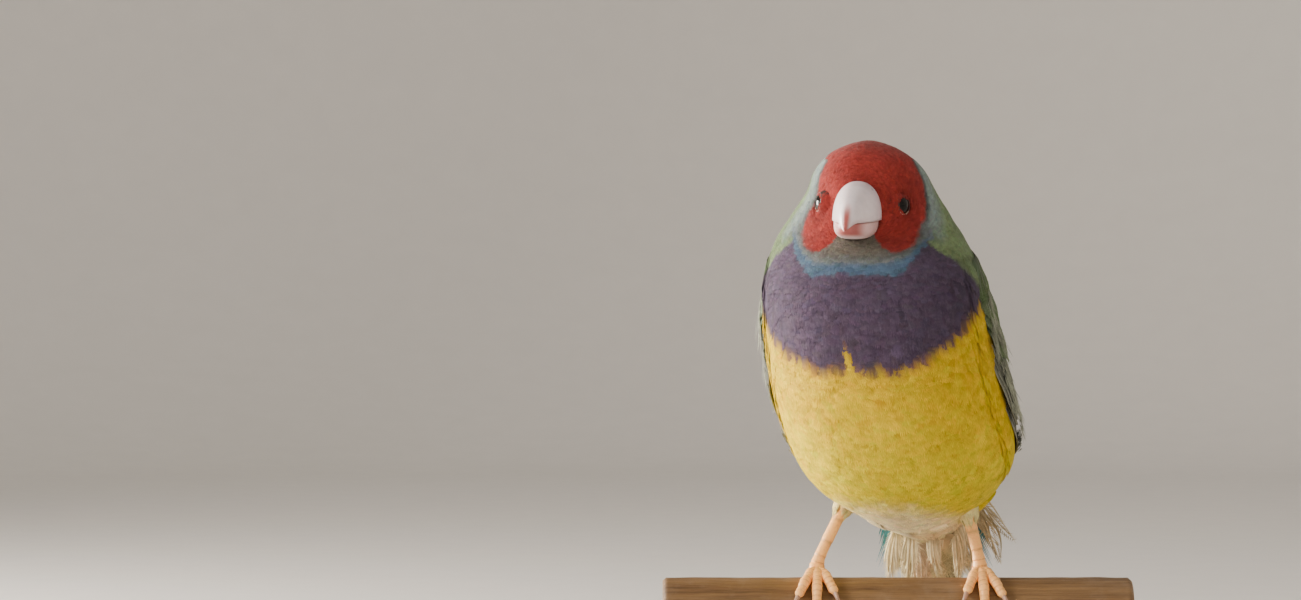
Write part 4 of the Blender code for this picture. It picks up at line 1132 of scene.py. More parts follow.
Tier = namedtuple("Tier", "count roots tips half_width heights paint", defaults=("covert",))
FLIGHT_TIERS = (
    Tier(8, ((0.40, 0.03), (0.40, 0.38)), ((1.00, 0.20), (0.80, 0.68)), 2.2, (0.1, 0.45), "primary"),
    Tier(7, ((0.38, 0.36), (0.38, 0.70)), ((0.79, 0.52), (0.75, 0.84)), 2.7, (0.5, 0.8), "secondary"),
    Tier(4, ((0.36, 0.66), (0.34, 0.90)), ((0.74, 0.70), (0.58, 0.90)), 3.3, (0.95, 1.3), "tertial"),
    Tier(6, ((0.26, 0.03), (0.28, 0.24)), ((0.51, 0.03), (0.48, 0.23)), 1.6, (0.55, 0.8), "primary"),
)
# Greater, median, lesser and upper coverts, and those at the wrist
COVERT_TIERS = (
    Tier(11, ((0.24, 0.18), (0.24, 0.95)), ((0.47, 0.25), (0.45, 0.96)), 2.1, (0.85, 1.35)),
    Tier(10, ((0.15, 0.07), (0.15, 0.95)), ((0.33, 0.11), (0.31, 0.97)), 2.2, (1.0, 1.45)),
    Tier(10, ((0.08, 0.06), (0.08, 0.95)), ((0.23, 0.09), (0.22, 0.97)), 2.2, (0.9, 1.3)),
    Tier(10, ((0.02, 0.05), (0.02, 0.95)), ((0.15, 0.08), (0.14, 0.97)), 2.1, (0.5, 0.9)),
    Tier(9, ((0.0, 0.08), (0.0, 0.95)), ((0.09, 0.08), (0.09, 0.97)), 2.1, (0.1, 0.4)),
)


def tier_ends(tier, draw, loose=0.006):
    share = np.linspace(0.0, 1.0, tier.count)[:, None]
    roots = np.array(tier.roots[0]) * (1 - share) + np.array(tier.roots[1]) * share
    tips = np.array(tier.tips[0]) * (1 - share) + np.array(tier.tips[1]) * share
    tips[:, 0] += draw.uniform(-loose, loose, tier.count)
    highs = tier.heights[0] + (tier.heights[1] - tier.heights[0]) * share[:, 0]
    return roots, tips, highs


def flight_tints(kind, template, many, draw):
    """Colours of the webs, shaft and edges of one kind of flight feather."""
    tints = bpy.context.scene.finch_colours
    share, v = template.rows["share"], template.v
    quill = np.tile(np.array(tints.quill), (many, len(v), 1))
    green = np.array(tints.back)
    edge = np.array(tints.edge)
    outer = np.tile(smoothstep((-share - 0.05) / 0.3), (many, 1))
    rim = np.tile(smoothstep((np.abs(share) - 0.72) / 0.25), (many, 1))
    end = np.tile(smoothstep((v - 0.93) / 0.06), (many, 1))
    shaft = np.tile(np.abs(share) < 0.06, (many, 1))
    if kind == "primary":
        paint = mix(quill, green * 0.55 + edge * 0.15, 0.35 * outer)
        paint = mix(paint, edge, 0.85 * rim * np.tile(share < 0, (many, 1)) + 0.35 * end)
    elif kind == "secondary":
        paint = mix(quill, green, outer)
        paint = mix(paint, green * 1.5 + edge * 0.15, 0.6 * rim * outer)
    elif kind == "tertial":
        paint = mix(quill * 0.5 + green * 0.6, green, 0.8 * outer + 0.5 * rim)
        paint = mix(paint, green * 1.4 + edge * 0.12, 0.6 * rim + 0.3 * end)
    else:
        paint = np.tile(np.array(tints.tail), (many, len(v), 1))
        paint = mix(paint, np.array(tints.tail) * 3.0, 0.5 * rim)
    paint = mix(paint, quill * 0.35, 0.7 * shaft)
    return paint * np.clip(draw.normal(1.0, 0.07, (many, 1, 1)), 0.75, 1.3)


def cells(many, first, total):
    """Corners of a map's square cells, one for each long feather, so that its own pattern can be baked."""
    across = math.ceil(math.sqrt(total))
    number = first + np.arange(many)
    return np.stack([(number % across + 0.5) / across, (number // across + 0.5) / across], axis=-1)


def add_long(batch, template, laid, tints, roots, width):
    """Adds long feathers, each with a cell of the map that is width across."""
    before = len(batch.parts)
    batch.add(template, pose(laid.points), tints, roots)
    points, faces, paint, patch, across = batch.parts[before]
    patch = roots.repeat(len(template.u), 0) + (across - 0.5) * width * 0.94
    batch.parts[before] = (points, faces, paint, patch, across)


FRAY = 420
FRAY_CLUMPS = 34


def make_wings():
    long_vane = vane_template(22, 4, 2.4)
    blunt_vane = vane_template(18, 4, 3.4)
    covert = barbed_template(14, 0.70, 0.30, 0.5)
    total = sum(tier.count for tier in FLIGHT_TIERS)
    for side, name in ((1, "left"), (-1, "right")):
        sheet = wing_sheet(side)
        draw = np.random.default_rng(SEED + 40 + side)
        flights = Barbs()
        first = 0
        for tier in FLIGHT_TIERS:
            template = long_vane if tier.paint == "primary" else blunt_vane
            roots, tips, highs = tier_ends(tier, draw)
            half = np.full(tier.count, tier.half_width) * draw.uniform(0.96, 1.04, tier.count)
            laid = lay_between(sheet, roots, tips, half, np.full(tier.count, -0.5), highs, template, draw)
            tints = flight_tints(tier.paint, template, tier.count, draw)
            places = cells(tier.count, first, total)
            add_long(flights, template, laid, tints, places, 1.0 / math.ceil(math.sqrt(total)))
            first += tier.count
        piece = flights.make(f"wing_flights_{name}", plumage("flight"), 50)
        place_piece(piece, "green_plumage", f"wing_{name}")
        coverts = Barbs()
        core = wing_core(sheet)
        for tier in COVERT_TIERS:
            for layer in range(2):
                roots, tips, highs = tier_ends(tier, draw, 0.012)
                if layer:
                    roots[:, 1] += 0.5 / tier.count
                    tips[:, 1] += 0.5 / tier.count
                    roots[:, 0] -= 0.025
                    tips[:, 0] -= 0.03
                    highs = highs + 0.12
                reach = np.linalg.norm(
                    sheet(tips[:, 0], tips[:, 1], highs) - sheet(roots[:, 0], roots[:, 1], highs), axis=-1
                )
                way = sheet(tips[:, 0], tips[:, 1], highs * 0) - sheet(roots[:, 0], roots[:, 1], highs * 0)
                wide = np.full(tier.count, tier.half_width * 2) * draw.uniform(0.92, 1.08, tier.count)
                laid = lay(sheet, roots[:, 0], roots[:, 1], way, reach, wide, np.full(tier.count, -0.3),
                           highs, covert, draw, camber=0.28, loose=0.8, rise=0.6, step=0.01)
                base = covert_base(tier.count, draw)
                tints = feather_tints(laid, base, covert, draw, dark_root=0.35, tip_light=0.20)
                coverts.add(covert, pose(laid.points), tints, roots * [0.9, 0.9] + [0.06, 0.04])
        add_fray(coverts, sheet, draw)
        piece = coverts.make(f"wing_coverts_{name}", plumage("covert"), 55)
        place_piece(piece, "green_plumage")
        place_piece(bmesh_object(f"wing_core_{name}", core, [plumage("skin")], paint=core_shade_paint),
                    "green_plumage")


def add_fray(batch, sheet, draw):
    """Loose pale barbs along the wing's front edge, in clumps that lie back along it."""
    tints = bpy.context.scene.finch_colours
    clump = draw.integers(0, FRAY_CLUMPS, FRAY)
    along = draw.uniform(0.10, 0.66, FRAY_CLUMPS)[clump] + draw.normal(0, 0.015, FRAY)
    across = draw.uniform(0.0, 0.20, FRAY_CLUMPS)[clump] + draw.normal(0, 0.02, FRAY)
    height = 0.75 + 0.4 * draw.random(FRAY)
    root = sheet(along, across, height)
    way = unit(sheet(along + 0.04, across, height) - root)
    outward = unit(sheet(along, across, height + 0.5) - root)
    way += outward * draw.uniform(0.0, 0.16, FRAY_CLUMPS)[clump, None] + draw.normal(0, 0.05, (FRAY, 3))
    strand = strand_template(5)
    length, width = draw.uniform(3.0, 5.5, FRAY_CLUMPS)[clump], draw.uniform(0.16, 0.28, FRAY)
    bend, curl = draw.normal(0, 0.45, FRAY_CLUMPS)[clump], draw.normal(-0.1, 0.2, FRAY_CLUMPS)[clump]
    points = strands(root, way, outward, length, width, bend, curl, strand, 0.07)
    pale = mix(np.array([tints.back]), tints.edge, np.array([0.62]))
    shade = draw.uniform(0.65, 1.15, FRAY_CLUMPS)[clump]
    # Painted shade towards the barbs' roots
    paint = pale[None] * shade[:, None, None] * (0.75 + 0.35 * strand.v)[None, :, None]
    batch.add(strand, pose(points), paint, np.stack([0.05 + 0.9 * across, 0.05 + 0.9 * along], axis=-1))


def covert_base(many, draw):
    tints = bpy.context.scene.finch_colours
    base = np.tile(np.array(tints.back), (many, 1))
    return base * np.clip(draw.normal(1.0, 0.08, (many, 1)), 0.7, 1.3)


def core_shade_paint(points):
    tints = bpy.context.scene.finch_colours
    # The back's green at 0.4: painted shade seen between the wing's feathers
    return np.tile(np.array(tints.back) * 0.4, (len(points), 1))


CORE_END = 0.62
CORE_RINGS = 22
CORE_TOP = 12
CORE_UNDER = 8


def wing_core(sheet):
    """The flesh of the folded wing, under its feathers."""
    rings = []
    for along in np.linspace(0.0, CORE_END, CORE_RINGS):
        wide = math.sqrt(max(0.0, 1 - (1 - min(along / 0.14, 1.0)) ** 2)) * 0.42 + 0.03
        wide *= 1.0 - 0.25 * along
        q = 0.52 + np.linspace(-wide, wide, CORE_TOP)
        top = sheet(np.full(CORE_TOP, along), q, 0.35 * np.cos(np.linspace(-1.3, 1.3, CORE_TOP)))
        under = sheet(np.full(CORE_UNDER, along), np.linspace(q[-2], q[1], CORE_UNDER),
                      np.full(CORE_UNDER, -1.2 * (1 - along)))
        rings.append(np.concatenate([top, under]))
    rings = np.array(rings)
    return ring_bmesh(rings, rings[0].mean(0), sheet(CORE_END + 0.02, 0.5, 0.0))


# Rows of the tail's coverts: how many, where they start and end along it, how wide each feather is, and
# how high over the tail its root and its tip stand
TAIL_COVERTS = (
    (7, -4.0, 12.0, 5.6, 4.0, 2.0), (8, -4.5, 17.5, 5.0, 2.9, 1.2), (6, -6.0, 7.5, 5.8, 4.6, 3.0),
)
UNDER_TAIL_COVERTS = ((7, 2.0, 13.0, 4.6, 5.4, 1.5), (6, 3.0, 19.0, 4.0, 4.0, 0.8))
COVERTS_HALF = 4.2
COVERTS_FANNED = 4.6


def make_tail():
    """The twelve tail feathers, and the coverts over and under their roots."""
    draw = np.random.default_rng(SEED + 60)
    colours = bpy.context.scene.finch_colours
    central = vane_template(26, 4, 1.5)
    outer = vane_template(20, 4, 4.0)
    feathers = Barbs()
    total = 2 * len(TAIL_LENGTHS)
    for i, (length, width) in enumerate(zip(TAIL_LENGTHS, TAIL_WIDTHS)):
        template = central if i == 0 else outer
        for side in (1, -1):
            height = 0.5 - TAIL_STEP * i + (0.17 if side > 0 else 0.0)
            roots = np.array([[1.5, side * (0.7 + 0.3 * i)]])
            tips = np.array([[length, side * (0.9 + TAIL_SPREAD * i)]])
            laid = lay_between(tail_sheet, roots, tips, np.array([width / 2]), np.array([height]),
                               np.array([height]), template, draw, camber=0.14, tilt=-0.05 * side)
            tints = flight_tints("tail", template, 1, draw)
            place = cells(1, 2 * i + (side > 0), total)
            add_long(feathers, template, laid, tints, place, 1.0 / math.ceil(math.sqrt(total)))
    place_piece(feathers.make("tail_feathers", plumage("tail"), 50), "black_plumage", "tail")
    coverts = Barbs()
    template = barbed_template(16, 0.62, 0.40, 0.5)
    for sheet, tiers, tint in (
        (tail_sheet, TAIL_COVERTS, colours.rump),
        (under_tail_sheet, UNDER_TAIL_COVERTS, colours.vent),
    ):
        for count, start, end, wide, low, high in tiers:
            across = np.linspace(-1.0, 1.0, count)
            p = np.full(count, start) + draw.uniform(-0.5, 0.5, count)
            reach = end - p - 4.5 * np.abs(across) + draw.uniform(-0.6, 0.6, count)
            way = sheet(p + 1.0, across * COVERTS_FANNED, p * 0) - sheet(p, across * COVERTS_HALF, p * 0)
            laid = lay(sheet, p, across * COVERTS_HALF, way, reach, np.full(count, wide), np.full(count, low),
                       high + 0.05 * np.arange(count), template, draw, camber=0.3, rise=0.8, step=0.1)
            base = np.tile(np.array(tint), (count, 1))
            tints = feather_tints(laid, base, template, draw, dark_root=0.5, tip_light=0.2)
            roots = np.stack([0.5 + across * 0.3, 0.3 + p / 60], axis=-1)
            if sheet is under_tail_sheet:
                roots[:, 1] += 0.4
            coverts.add(template, pose(laid.points), tints, roots)
    place_piece(coverts.make("tail_coverts", plumage("covert"), 55), "turquoise_plumage")


# Loose vent plumes, as in the solids: root, tip, half width and sideways bow, and how grey each is
Plume = namedtuple("Plume", "root tip half_width bow grey")
PLUMES = (
    Plume((-4.8, -14.5, 10.0), (-6.0, -12.3, -1.7), 1.7, -0.3, 0.0),
    Plume((-2.2, -15.0, 10.0), (-2.8, -13.4, -2.0), 1.8, 0.3, 0.0),
    Plume((2.8, -15.5, 10.5), (3.0, -15.2, -0.2), 1.4, -0.9, 0.1),
    Plume((5.3, -16.0, 11.0), (6.6, -16.2, -0.9), 1.5, 0.9, 0.25),
    Plume((7.8, -17.5, 13.0), (10.4, -18.2, 0.4), 1.3, -0.9, 0.35),
    Plume((8.5, -18.5, 15.0), (14.0, -20.5, 1.9), 1.2, 0.8, 0.75),
    Plume((9.0, -18.0, 17.0), (16.8, -20.0, 6.2), 1.0, -0.6, 0.9),
)
GREY_SHARE = np.array([0.62, 0.58, 0.55])
SMALL_PLUMES = 4
STRANDS = 9
BARBS_A_SIDE = 26
CLUMPS = 7
WISPS = 520
WISP_CLUMPS = 90
FORWARD = np.array([0.0, 1.0, 0.0])


def strand_template(rows):
    """One thin barb or hair: three-sided, tapering to a point."""
    v = np.repeat(np.linspace(0.0, 1.0, rows + 1)[:-1], 3)
    taper = 1.0 - 0.75 * v
    u = np.tile([-1.0, 1.0, 0.0], rows) * taper
    lift = np.tile([0.0, 0.0, 1.0], rows) * taper
    faces = [(0, 2, 1)]
    for row in range(rows - 1):
        for k in range(3):
            a, b = row * 3 + k, row * 3 + (k + 1) % 3
            faces += [(a, b, b + 3), (a, b + 3, a + 3)]
    last = (rows - 1) * 3
    faces += [(last + k, last + (k + 1) % 3, rows * 3) for k in range(3)]
    none = np.array([], int)
    faces = np.array(faces)
    return Template(np.append(u, 0.0), np.append(v, 1.0), np.append(lift, 0.0), faces, faces,
                    {"tip": np.array([rows * 3]), "notch": none, "ridge": none})


def strands(root, way, outward, length, width, bend, curl, template, thick):
    """Thin barbs from roots, bending sideways and curling off their plane towards their ends."""
    way = unit(way)
    side = unit(np.cross(outward, way))
    v, u = template.v[None, :, None], template.u[None, :, None]
    reach, wide = length[:, None, None], width[:, None, None]
    return (root[:, None] + way[:, None] * v * reach
            + side[:, None] * (u * wide / 2 + bend[:, None, None] * v**2)
            + outward[:, None] * (template.lift[None, :, None] * thick + curl[:, None, None] * v**2))


def plume_path(plume, share):
    """Points along a plume's shaft, for shares of its length."""
    share = np.asarray(share, float)
    root, tip = np.array(plume.root), np.array(plume.tip)
    path = root + (tip - root) * share[..., None]
    path[..., 0] += plume.bow * np.sin(math.pi * share)
    path[..., 1] += 1.2 * np.sin(math.pi * share)
    return path


def plume_sheet(plume):
    """The sheet that a plume's strands lie on: along it from 0 to 1, across and over it in millimetres."""
    def sheet(along, across, height):
        along, across, height = np.broadcast_arrays(along, across, height)
        tangent = unit(plume_path(plume, along + 0.01) - plume_path(plume, along - 0.01))
        side = unit(np.cross(tangent, FORWARD))
        over = np.cross(side, tangent)
        lift = over * (height - 0.05 * across**2)[..., None]
        return plume_path(plume, along) + side * across[..., None] + lift
    return sheet


def add_plume(batch, plume, number, draw):
    """A frayed plume: pointed strands that part from its shaft, and loose barbs at both its sides."""
    colours = bpy.context.scene.finch_colours
    grey = np.array(colours.plume) * GREY_SHARE
    base = mix(np.array([colours.plume]), grey, np.array([plume.grey]))[0]
    place = np.array([[0.08 + 0.12 * (number % 8), 0.1 + 0.2 * (number // 8)]])
    blade = vane_template(14, 3, 1.5)
    side = np.linspace(-1.0, 1.0, STRANDS) + draw.normal(0, 0.06, STRANDS)
    start = 0.02 + 0.30 * (1 - np.abs(side)) * draw.uniform(0.2, 1.0, STRANDS)
    finish = 1.0 - 0.34 * np.abs(side) ** 1.4 + draw.normal(0, 0.04, STRANDS)
    roots = np.stack([start, 0.12 * side], axis=-1)
    tips = np.stack([finish, side * plume.half_width * draw.uniform(0.7, 1.25, STRANDS)], axis=-1)
    half = draw.uniform(0.34, 0.58, STRANDS) * (1.3 - 0.9 * plume.grey)
    highs = 0.25 * (1 - np.abs(side)) + draw.normal(0, 0.10 + 0.25 * plume.grey, STRANDS)
    bow = draw.normal(0, 0.30 + 0.6 * plume.grey, STRANDS)
    laid = lay_between(plume_sheet(plume), roots, tips, half, highs * 0.3, highs, blade, draw, camber=0.10,
                       bow=bow, tilt=0.04)
    share = np.abs(blade.rows["share"])
    # Painted highlight along the strands' edges, as light from behind, and painted shade towards their roots
    tone = 0.72 + 0.33 * smoothstep((share - 0.5) / 0.4) + 0.14 * smoothstep(blade.v / 0.5)
    shade = draw.uniform(0.74, 1.10, (STRANDS, 1, 1))
    tints = base * tone[None, :, None] * shade
    batch.add(blade, pose(laid.points), tints, place.repeat(STRANDS, 0))
    barb = strand_template(4)
    for sign in (1, -1):
        share = np.linspace(0.12, 0.98, BARBS_A_SIDE)
        tangent = unit(plume_path(plume, share + 0.01) - plume_path(plume, share - 0.01))
        side = unit(np.cross(tangent, FORWARD)) * sign
        wide = plume.half_width * (0.5 + 0.5 * np.minimum(1, share / 0.35)) * (1 - share**2.6) ** 0.7
        root = plume_path(plume, share) + side * (wide * 0.5)[:, None]
        clump = np.minimum((share * CLUMPS).astype(int), CLUMPS - 1)
        slant = np.radians(26 - 12 * share) + draw.normal(0, 0.15, CLUMPS)[clump]
        length = (wide * 1.1 + 0.6) * draw.uniform(0.7, 1.2, BARBS_A_SIDE)
        way = tangent * np.cos(slant)[:, None] + side * np.sin(slant)[:, None]
        way[:, 1] += draw.normal(0, 0.12, CLUMPS)[clump]
        outward = np.tile(FORWARD, (BARBS_A_SIDE, 1))
        points = strands(root, way, outward, length, draw.uniform(0.14, 0.24, BARBS_A_SIDE),
                         -sign * draw.uniform(0.0, 0.8, CLUMPS)[clump], draw.normal(0, 0.6, CLUMPS)[clump],
                         barb, 0.06)
        shade = draw.uniform(0.8, 1.1, CLUMPS)[clump]
        # Painted shade towards the barbs' roots
        tints = base[None, None, :] * shade[:, None, None] * (0.8 + 0.3 * barb.v)[None, :, None]
        spots = np.stack([np.full_like(share, sign * 0.02), share * 0.15], axis=-1)
        batch.add(barb, pose(points), tints, place.repeat(BARBS_A_SIDE, 0) + spots)


def make_plumes():
    """The frayed plumes at the vent, the smaller ones between them and the wisps along the belly's edge."""
    draw = np.random.default_rng(SEED + 80)
    colours = bpy.context.scene.finch_colours
    batch = Barbs()
    for number, plume in enumerate(PLUMES):
        add_plume(batch, plume, number, draw)
    for number in range(SMALL_PLUMES):
        near = PLUMES[(number * 3 + 2) % len(PLUMES)]
        root = np.array(near.root) + draw.uniform(-1.4, 1.4, 3) + [0, 0, 1.0]
        tip = root + (np.array(near.tip) - near.root) * draw.uniform(0.6, 0.9) + draw.uniform(-1.6, 1.6, 3)
        small = Plume(tuple(root), tuple(tip), near.half_width * 0.7, draw.uniform(-1.2, 1.2),
                      near.grey * 0.8)
        add_plume(batch, small, number + 8, draw)
    place_piece(batch.make("vent_plumes", plumage("silky"), 60), "pale_plumage")
    wisps = Barbs()
    strand = strand_template(5)
    clumps = draw.integers(0, WISP_CLUMPS, WISPS)
    angle = np.radians(draw.uniform(-100, 60, WISP_CLUMPS))[clumps] + draw.normal(0, 0.012, WISPS)
    station = np.clip(draw.normal(3.0, 0.5, WISP_CLUMPS), 2.2, 4.2)[clumps] + draw.normal(0, 0.03, WISPS)
    root = body.offset(station, angle, np.full(WISPS, -0.4))
    outward = body.normal(station, angle)
    way = flow(station, angle, body.point(station, angle))
    way = way + outward * draw.uniform(0.02, 0.16, WISP_CLUMPS)[clumps, None]
    way += draw.normal(0, 0.16, (WISP_CLUMPS, 3))[clumps] + draw.normal(0, 0.05, (WISPS, 3))
    length, width = draw.uniform(2.2, 3.6, WISPS), draw.uniform(0.14, 0.24, WISPS)
    bend, curl = draw.normal(0, 0.3, WISP_CLUMPS)[clumps], draw.normal(0.0, 0.25, WISP_CLUMPS)[clumps]
    points = strands(root, way, outward, length, width, bend, curl, strand, 0.07)
    base = markings(station, angle, body.point(station, angle))
    base = mix(base, colours.vent, np.full(WISPS, 0.25))
    # Painted shade towards the wisps' roots
    tints = base[:, None, :] * (0.8 + 0.3 * strand.v)[None, :, None]
    tints = tints * draw.uniform(0.85, 1.15, (WISPS, 1, 1))
    wisps.add(strand, pose(points), tints, unwrap(station, angle))
    place_piece(wisps.make("vent_down", plumage("silky"), 60), "pale_plumage")


# Bill
def bill_point(along, x, rise):
    """A point of the bill, from its length along the bill, its side and its height over the mouth line."""
    forward, z = BILL_ROOT
    return np.stack(
        [
            x,
            forward + along * math.cos(BILL_DROP) + rise * math.sin(BILL_DROP),
            z - along * math.sin(BILL_DROP) + rise * math.cos(BILL_DROP),
        ],
        axis=-1,
    )


HALF_ROWS = 60
DOME_CORNERS = 60
FLAT_CORNERS = 18
TIP_HOOK = 1.45
HOOK_FROM = 0.8
NOSTRIL_SIZE = 0.42
KEEL_HALF = 1.1


def bill_rings(length, width, depth, upward, edge, hook, roundness, fullness):
    """One mandible's rings: domed sections on a flat mouth side, with their shares, sides and heights."""
    shares = 1.0 - (1.0 - np.linspace(0.0, 1.0, HALF_ROWS + 1)[:-1]) ** 1.7
    shares = np.concatenate([np.linspace(-BILL_SUNK / length, 0.0, 7)[:-1], shares])[:, None]
    ahead = np.maximum(shares, 0.0)
    half = width / 2 * (1.0 - ahead ** fullness[0]) ** 0.80
    tall = depth * (1.0 - ahead ** fullness[1]) ** 0.72
    turns = np.linspace(0.0, math.pi, DOME_CORNERS)[None, :]
    dome_x = half * np.sign(np.cos(turns)) * np.abs(np.cos(turns)) ** roundness
    dome_z = tall * np.abs(np.sin(turns)) ** roundness
    flat_x = half * np.linspace(-1.0, 1.0, FLAT_CORNERS + 2)[None, 1:-1]
    x = np.concatenate([dome_x, flat_x], axis=1)
    over = np.concatenate([dome_z, np.zeros_like(flat_x)], axis=1)
    dip = hook * np.clip((ahead - HOOK_FROM) / (1 - HOOK_FROM), 0.0, 1.0) ** 1.3 * np.exp(-((x / 2.0) ** 2))
    along = np.broadcast_to(shares * length, x.shape)
    return bill_point(along, x, edge + upward * over - dip), np.broadcast_to(ahead, x.shape), x, over


def make_bill():
    """Both halves of the bill: a broad ivory dome with a red keel, over a blunt pink lower half."""
    colours = bpy.context.scene.finch_colours
    ivory, red = np.array(colours.ivory), np.array(colours.bill_tip)
    rings, ahead, x, over = bill_rings(BILL_LENGTH, BILL_WIDTH, UPPER_RISE, 1, MOUTH_RISE, TIP_HOOK, 0.88,
                                       (1.8, 2.1))
    nostril = bill_point(*NOSTRIL_PLACE)
    one_side = np.stack([np.abs(rings[..., 0]), rings[..., 1], rings[..., 2]], axis=-1)
    pit = np.linalg.norm(one_side - nostril, axis=-1)
    sunk = smoothstep((NOSTRIL_SIZE - pit) / 0.3)
    rings = rings - np.stack([np.sign(x) * 0.15 * sunk, 0.1 * sunk, 0.25 * sunk], axis=-1)
    keel = smoothstep((KEEL_HALF - np.abs(x)) / 0.9) * smoothstep((ahead - 0.76) / 0.16)
    keel = np.maximum(keel, smoothstep((ahead - 0.94) / 0.04))
    lip = smoothstep((1.0 - over) / 0.9) * smoothstep((ahead - 0.3) / 0.5)
    tint = mix(np.broadcast_to(ivory, rings.shape), red, np.maximum(0.95 * keel, 0.28 * lip))
    # A painted grey-blue sheen over the rear of the upper half
    tint = mix(tint, ivory * [0.90, 0.88, 0.93], 0.8 * smoothstep((0.45 - ahead) / 0.45))
    # Painted shade in the nostril's pit
    tint = tint * (1.0 - 0.7 * sunk)[..., None]
    root = bill_point(-BILL_SUNK, 0.0, MOUTH_RISE + UPPER_RISE * 0.4)
    tip = bill_point(BILL_LENGTH, 0.0, MOUTH_RISE + 0.1 - TIP_HOOK)
    upper = ring_bmesh(rings, root, tip, tint)
    place_piece(bmesh_object("bill_upper_horn", upper, [horn("ivory_horn")]), "ivory_horn", "bill_upper")
    edge = MOUTH_RISE - 0.2
    rings, ahead, x, over = bill_rings(LOWER_LENGTH, LOWER_WIDTH, LOWER_DROP, -1, edge, 0.0, 0.66,
                                       (2.8, 3.4))
    middle = smoothstep((3.4 - np.abs(x)) / 2.0) * smoothstep((2.9 - over) / 1.0)
    middle = middle * smoothstep((ahead - 0.35) / 0.35)
    rim = smoothstep((over - LOWER_DROP * 0.72) / 0.5)
    tint = mix(np.broadcast_to(ivory * [1.0, 0.80, 0.76], rings.shape), red,
               0.12 + 0.78 * middle * (1 - rim))
    tint = mix(tint, ivory, 0.35 * rim)
    root = bill_point(-BILL_SUNK, 0.0, edge - LOWER_DROP * 0.4)
    lower = ring_bmesh(rings, root, bill_point(LOWER_LENGTH, 0.0, edge - 0.1), tint)
    place_piece(bmesh_object("bill_lower_horn", lower, [horn("ivory_horn")]), "ivory_horn", "bill_lower")


# Eyes
PUPIL = math.radians(24)
IRIS = math.radians(46)
PUPIL_TINT = np.array([0.004, 0.003, 0.003])
IRIS_TINT = np.array([0.045, 0.016, 0.008])
CORNEA = 0.14
EYE_AROUND = 48
EYE_RINGS = 42


def make_eyes():
    """The eyeballs, each with a bulging wet front over a faintly rayed iris."""
    for side, name in ((1, "left"), (-1, "right")):
        centre, gaze, upward, forward = eye_frame(side)
        turns = np.arange(EYE_AROUND) * math.tau / EYE_AROUND
        rings, tints = [], []
        for tilt in np.linspace(0.0, math.pi, EYE_RINGS)[1:-1]:
            radius = EYE_RADIUS + CORNEA * math.exp(-((tilt / 0.55) ** 2))
            ring = np.cos(turns)[:, None] * forward + np.sin(turns)[:, None] * upward
            rings.append(centre + radius * (ring * math.sin(tilt) + gaze * math.cos(tilt)))
            brown = smoothstep((tilt - PUPIL) / 0.08) * (1 - smoothstep((tilt - IRIS) / 0.08))
            rays = 0.75 + 0.25 * np.sin(turns * 24)
            tints.append(PUPIL_TINT + np.outer(rays, IRIS_TINT) * brown)
        front = centre + gaze * (EYE_RADIUS + CORNEA)
        mesh = ring_bmesh(np.array(rings), front, centre - gaze * EYE_RADIUS, np.array(tints))
        place_piece(bmesh_object(f"eyeball_{name}", mesh, [eye_material()]), "dark_eye", f"eye_{name}")


# Legs and feet, in millimetres from the middle of the perch's top: x, back and z
FOOT_X = {"left": 16.0, "right": -15.3}
LEG_TOP = {"left": (13.7, 1.0, 12.2), "right": (-10.0, 3.0, 13.4)}
ANKLE_HEIGHT = 3.0
ANKLE_BACK = 0.6
TOE_RADIUS = 0.92
FOOT_STUB = 2.4
PERCH_START = math.radians(-6.0)
Toe = namedtuple("Toe", "reach spread joints")
TOES = {
    "inner": Toe(math.radians(66.0), math.radians(-21.0), 2),
    "middle": Toe(math.radians(88.0), math.radians(2.0), 3),
    "outer": Toe(math.radians(72.0), math.radians(24.0), 3),
    "hind": Toe(math.radians(-74.0), math.radians(6.0), 2),
}
# The leg's radius from the foot, at 0, past the ankle, at 2, to its top, at 3, and on into the belly
LEG_RADII = ((0.0, 1.55), (0.6, 1.55), (1.2, 1.32), (1.9, 1.08), (3.0, 1.14), (3.6, 1.36), (4.0, 1.4))
LEG_RINGS = 120
LEG_AROUND = 28
TOE_RINGS = 76
TOE_AROUND = 24
CLAW_RINGS = 30
CLAW_AROUND = 18
CLAW_ARC = 3.9
CLAW_RADIUS = 0.58
CLAW_SQUEEZE = 0.82
CLAW_PALE = np.array([0.50, 0.30, 0.21])
CLAW_DARK = (0.14, 0.085, 0.06)
SCUTE = 0.95


def perch_point(x, angle, distance):
    """A point round the perch: angle 0 is its top and grows to the front."""
    back, z = -distance * np.sin(angle), distance * np.cos(angle) - PERCH_RADIUS
    return np.stack(np.broadcast_arrays(x, back, z), axis=-1)


def toe_path(foot_x, outward, toe, shares):
    """A toe's places along X and its angles round the perch, for shares of its length."""
    angle = PERCH_START + toe.reach * shares
    run = np.abs(toe.reach) * shares * (PERCH_RADIUS + TOE_RADIUS)
    return foot_x + outward * run * math.tan(toe.spread), angle


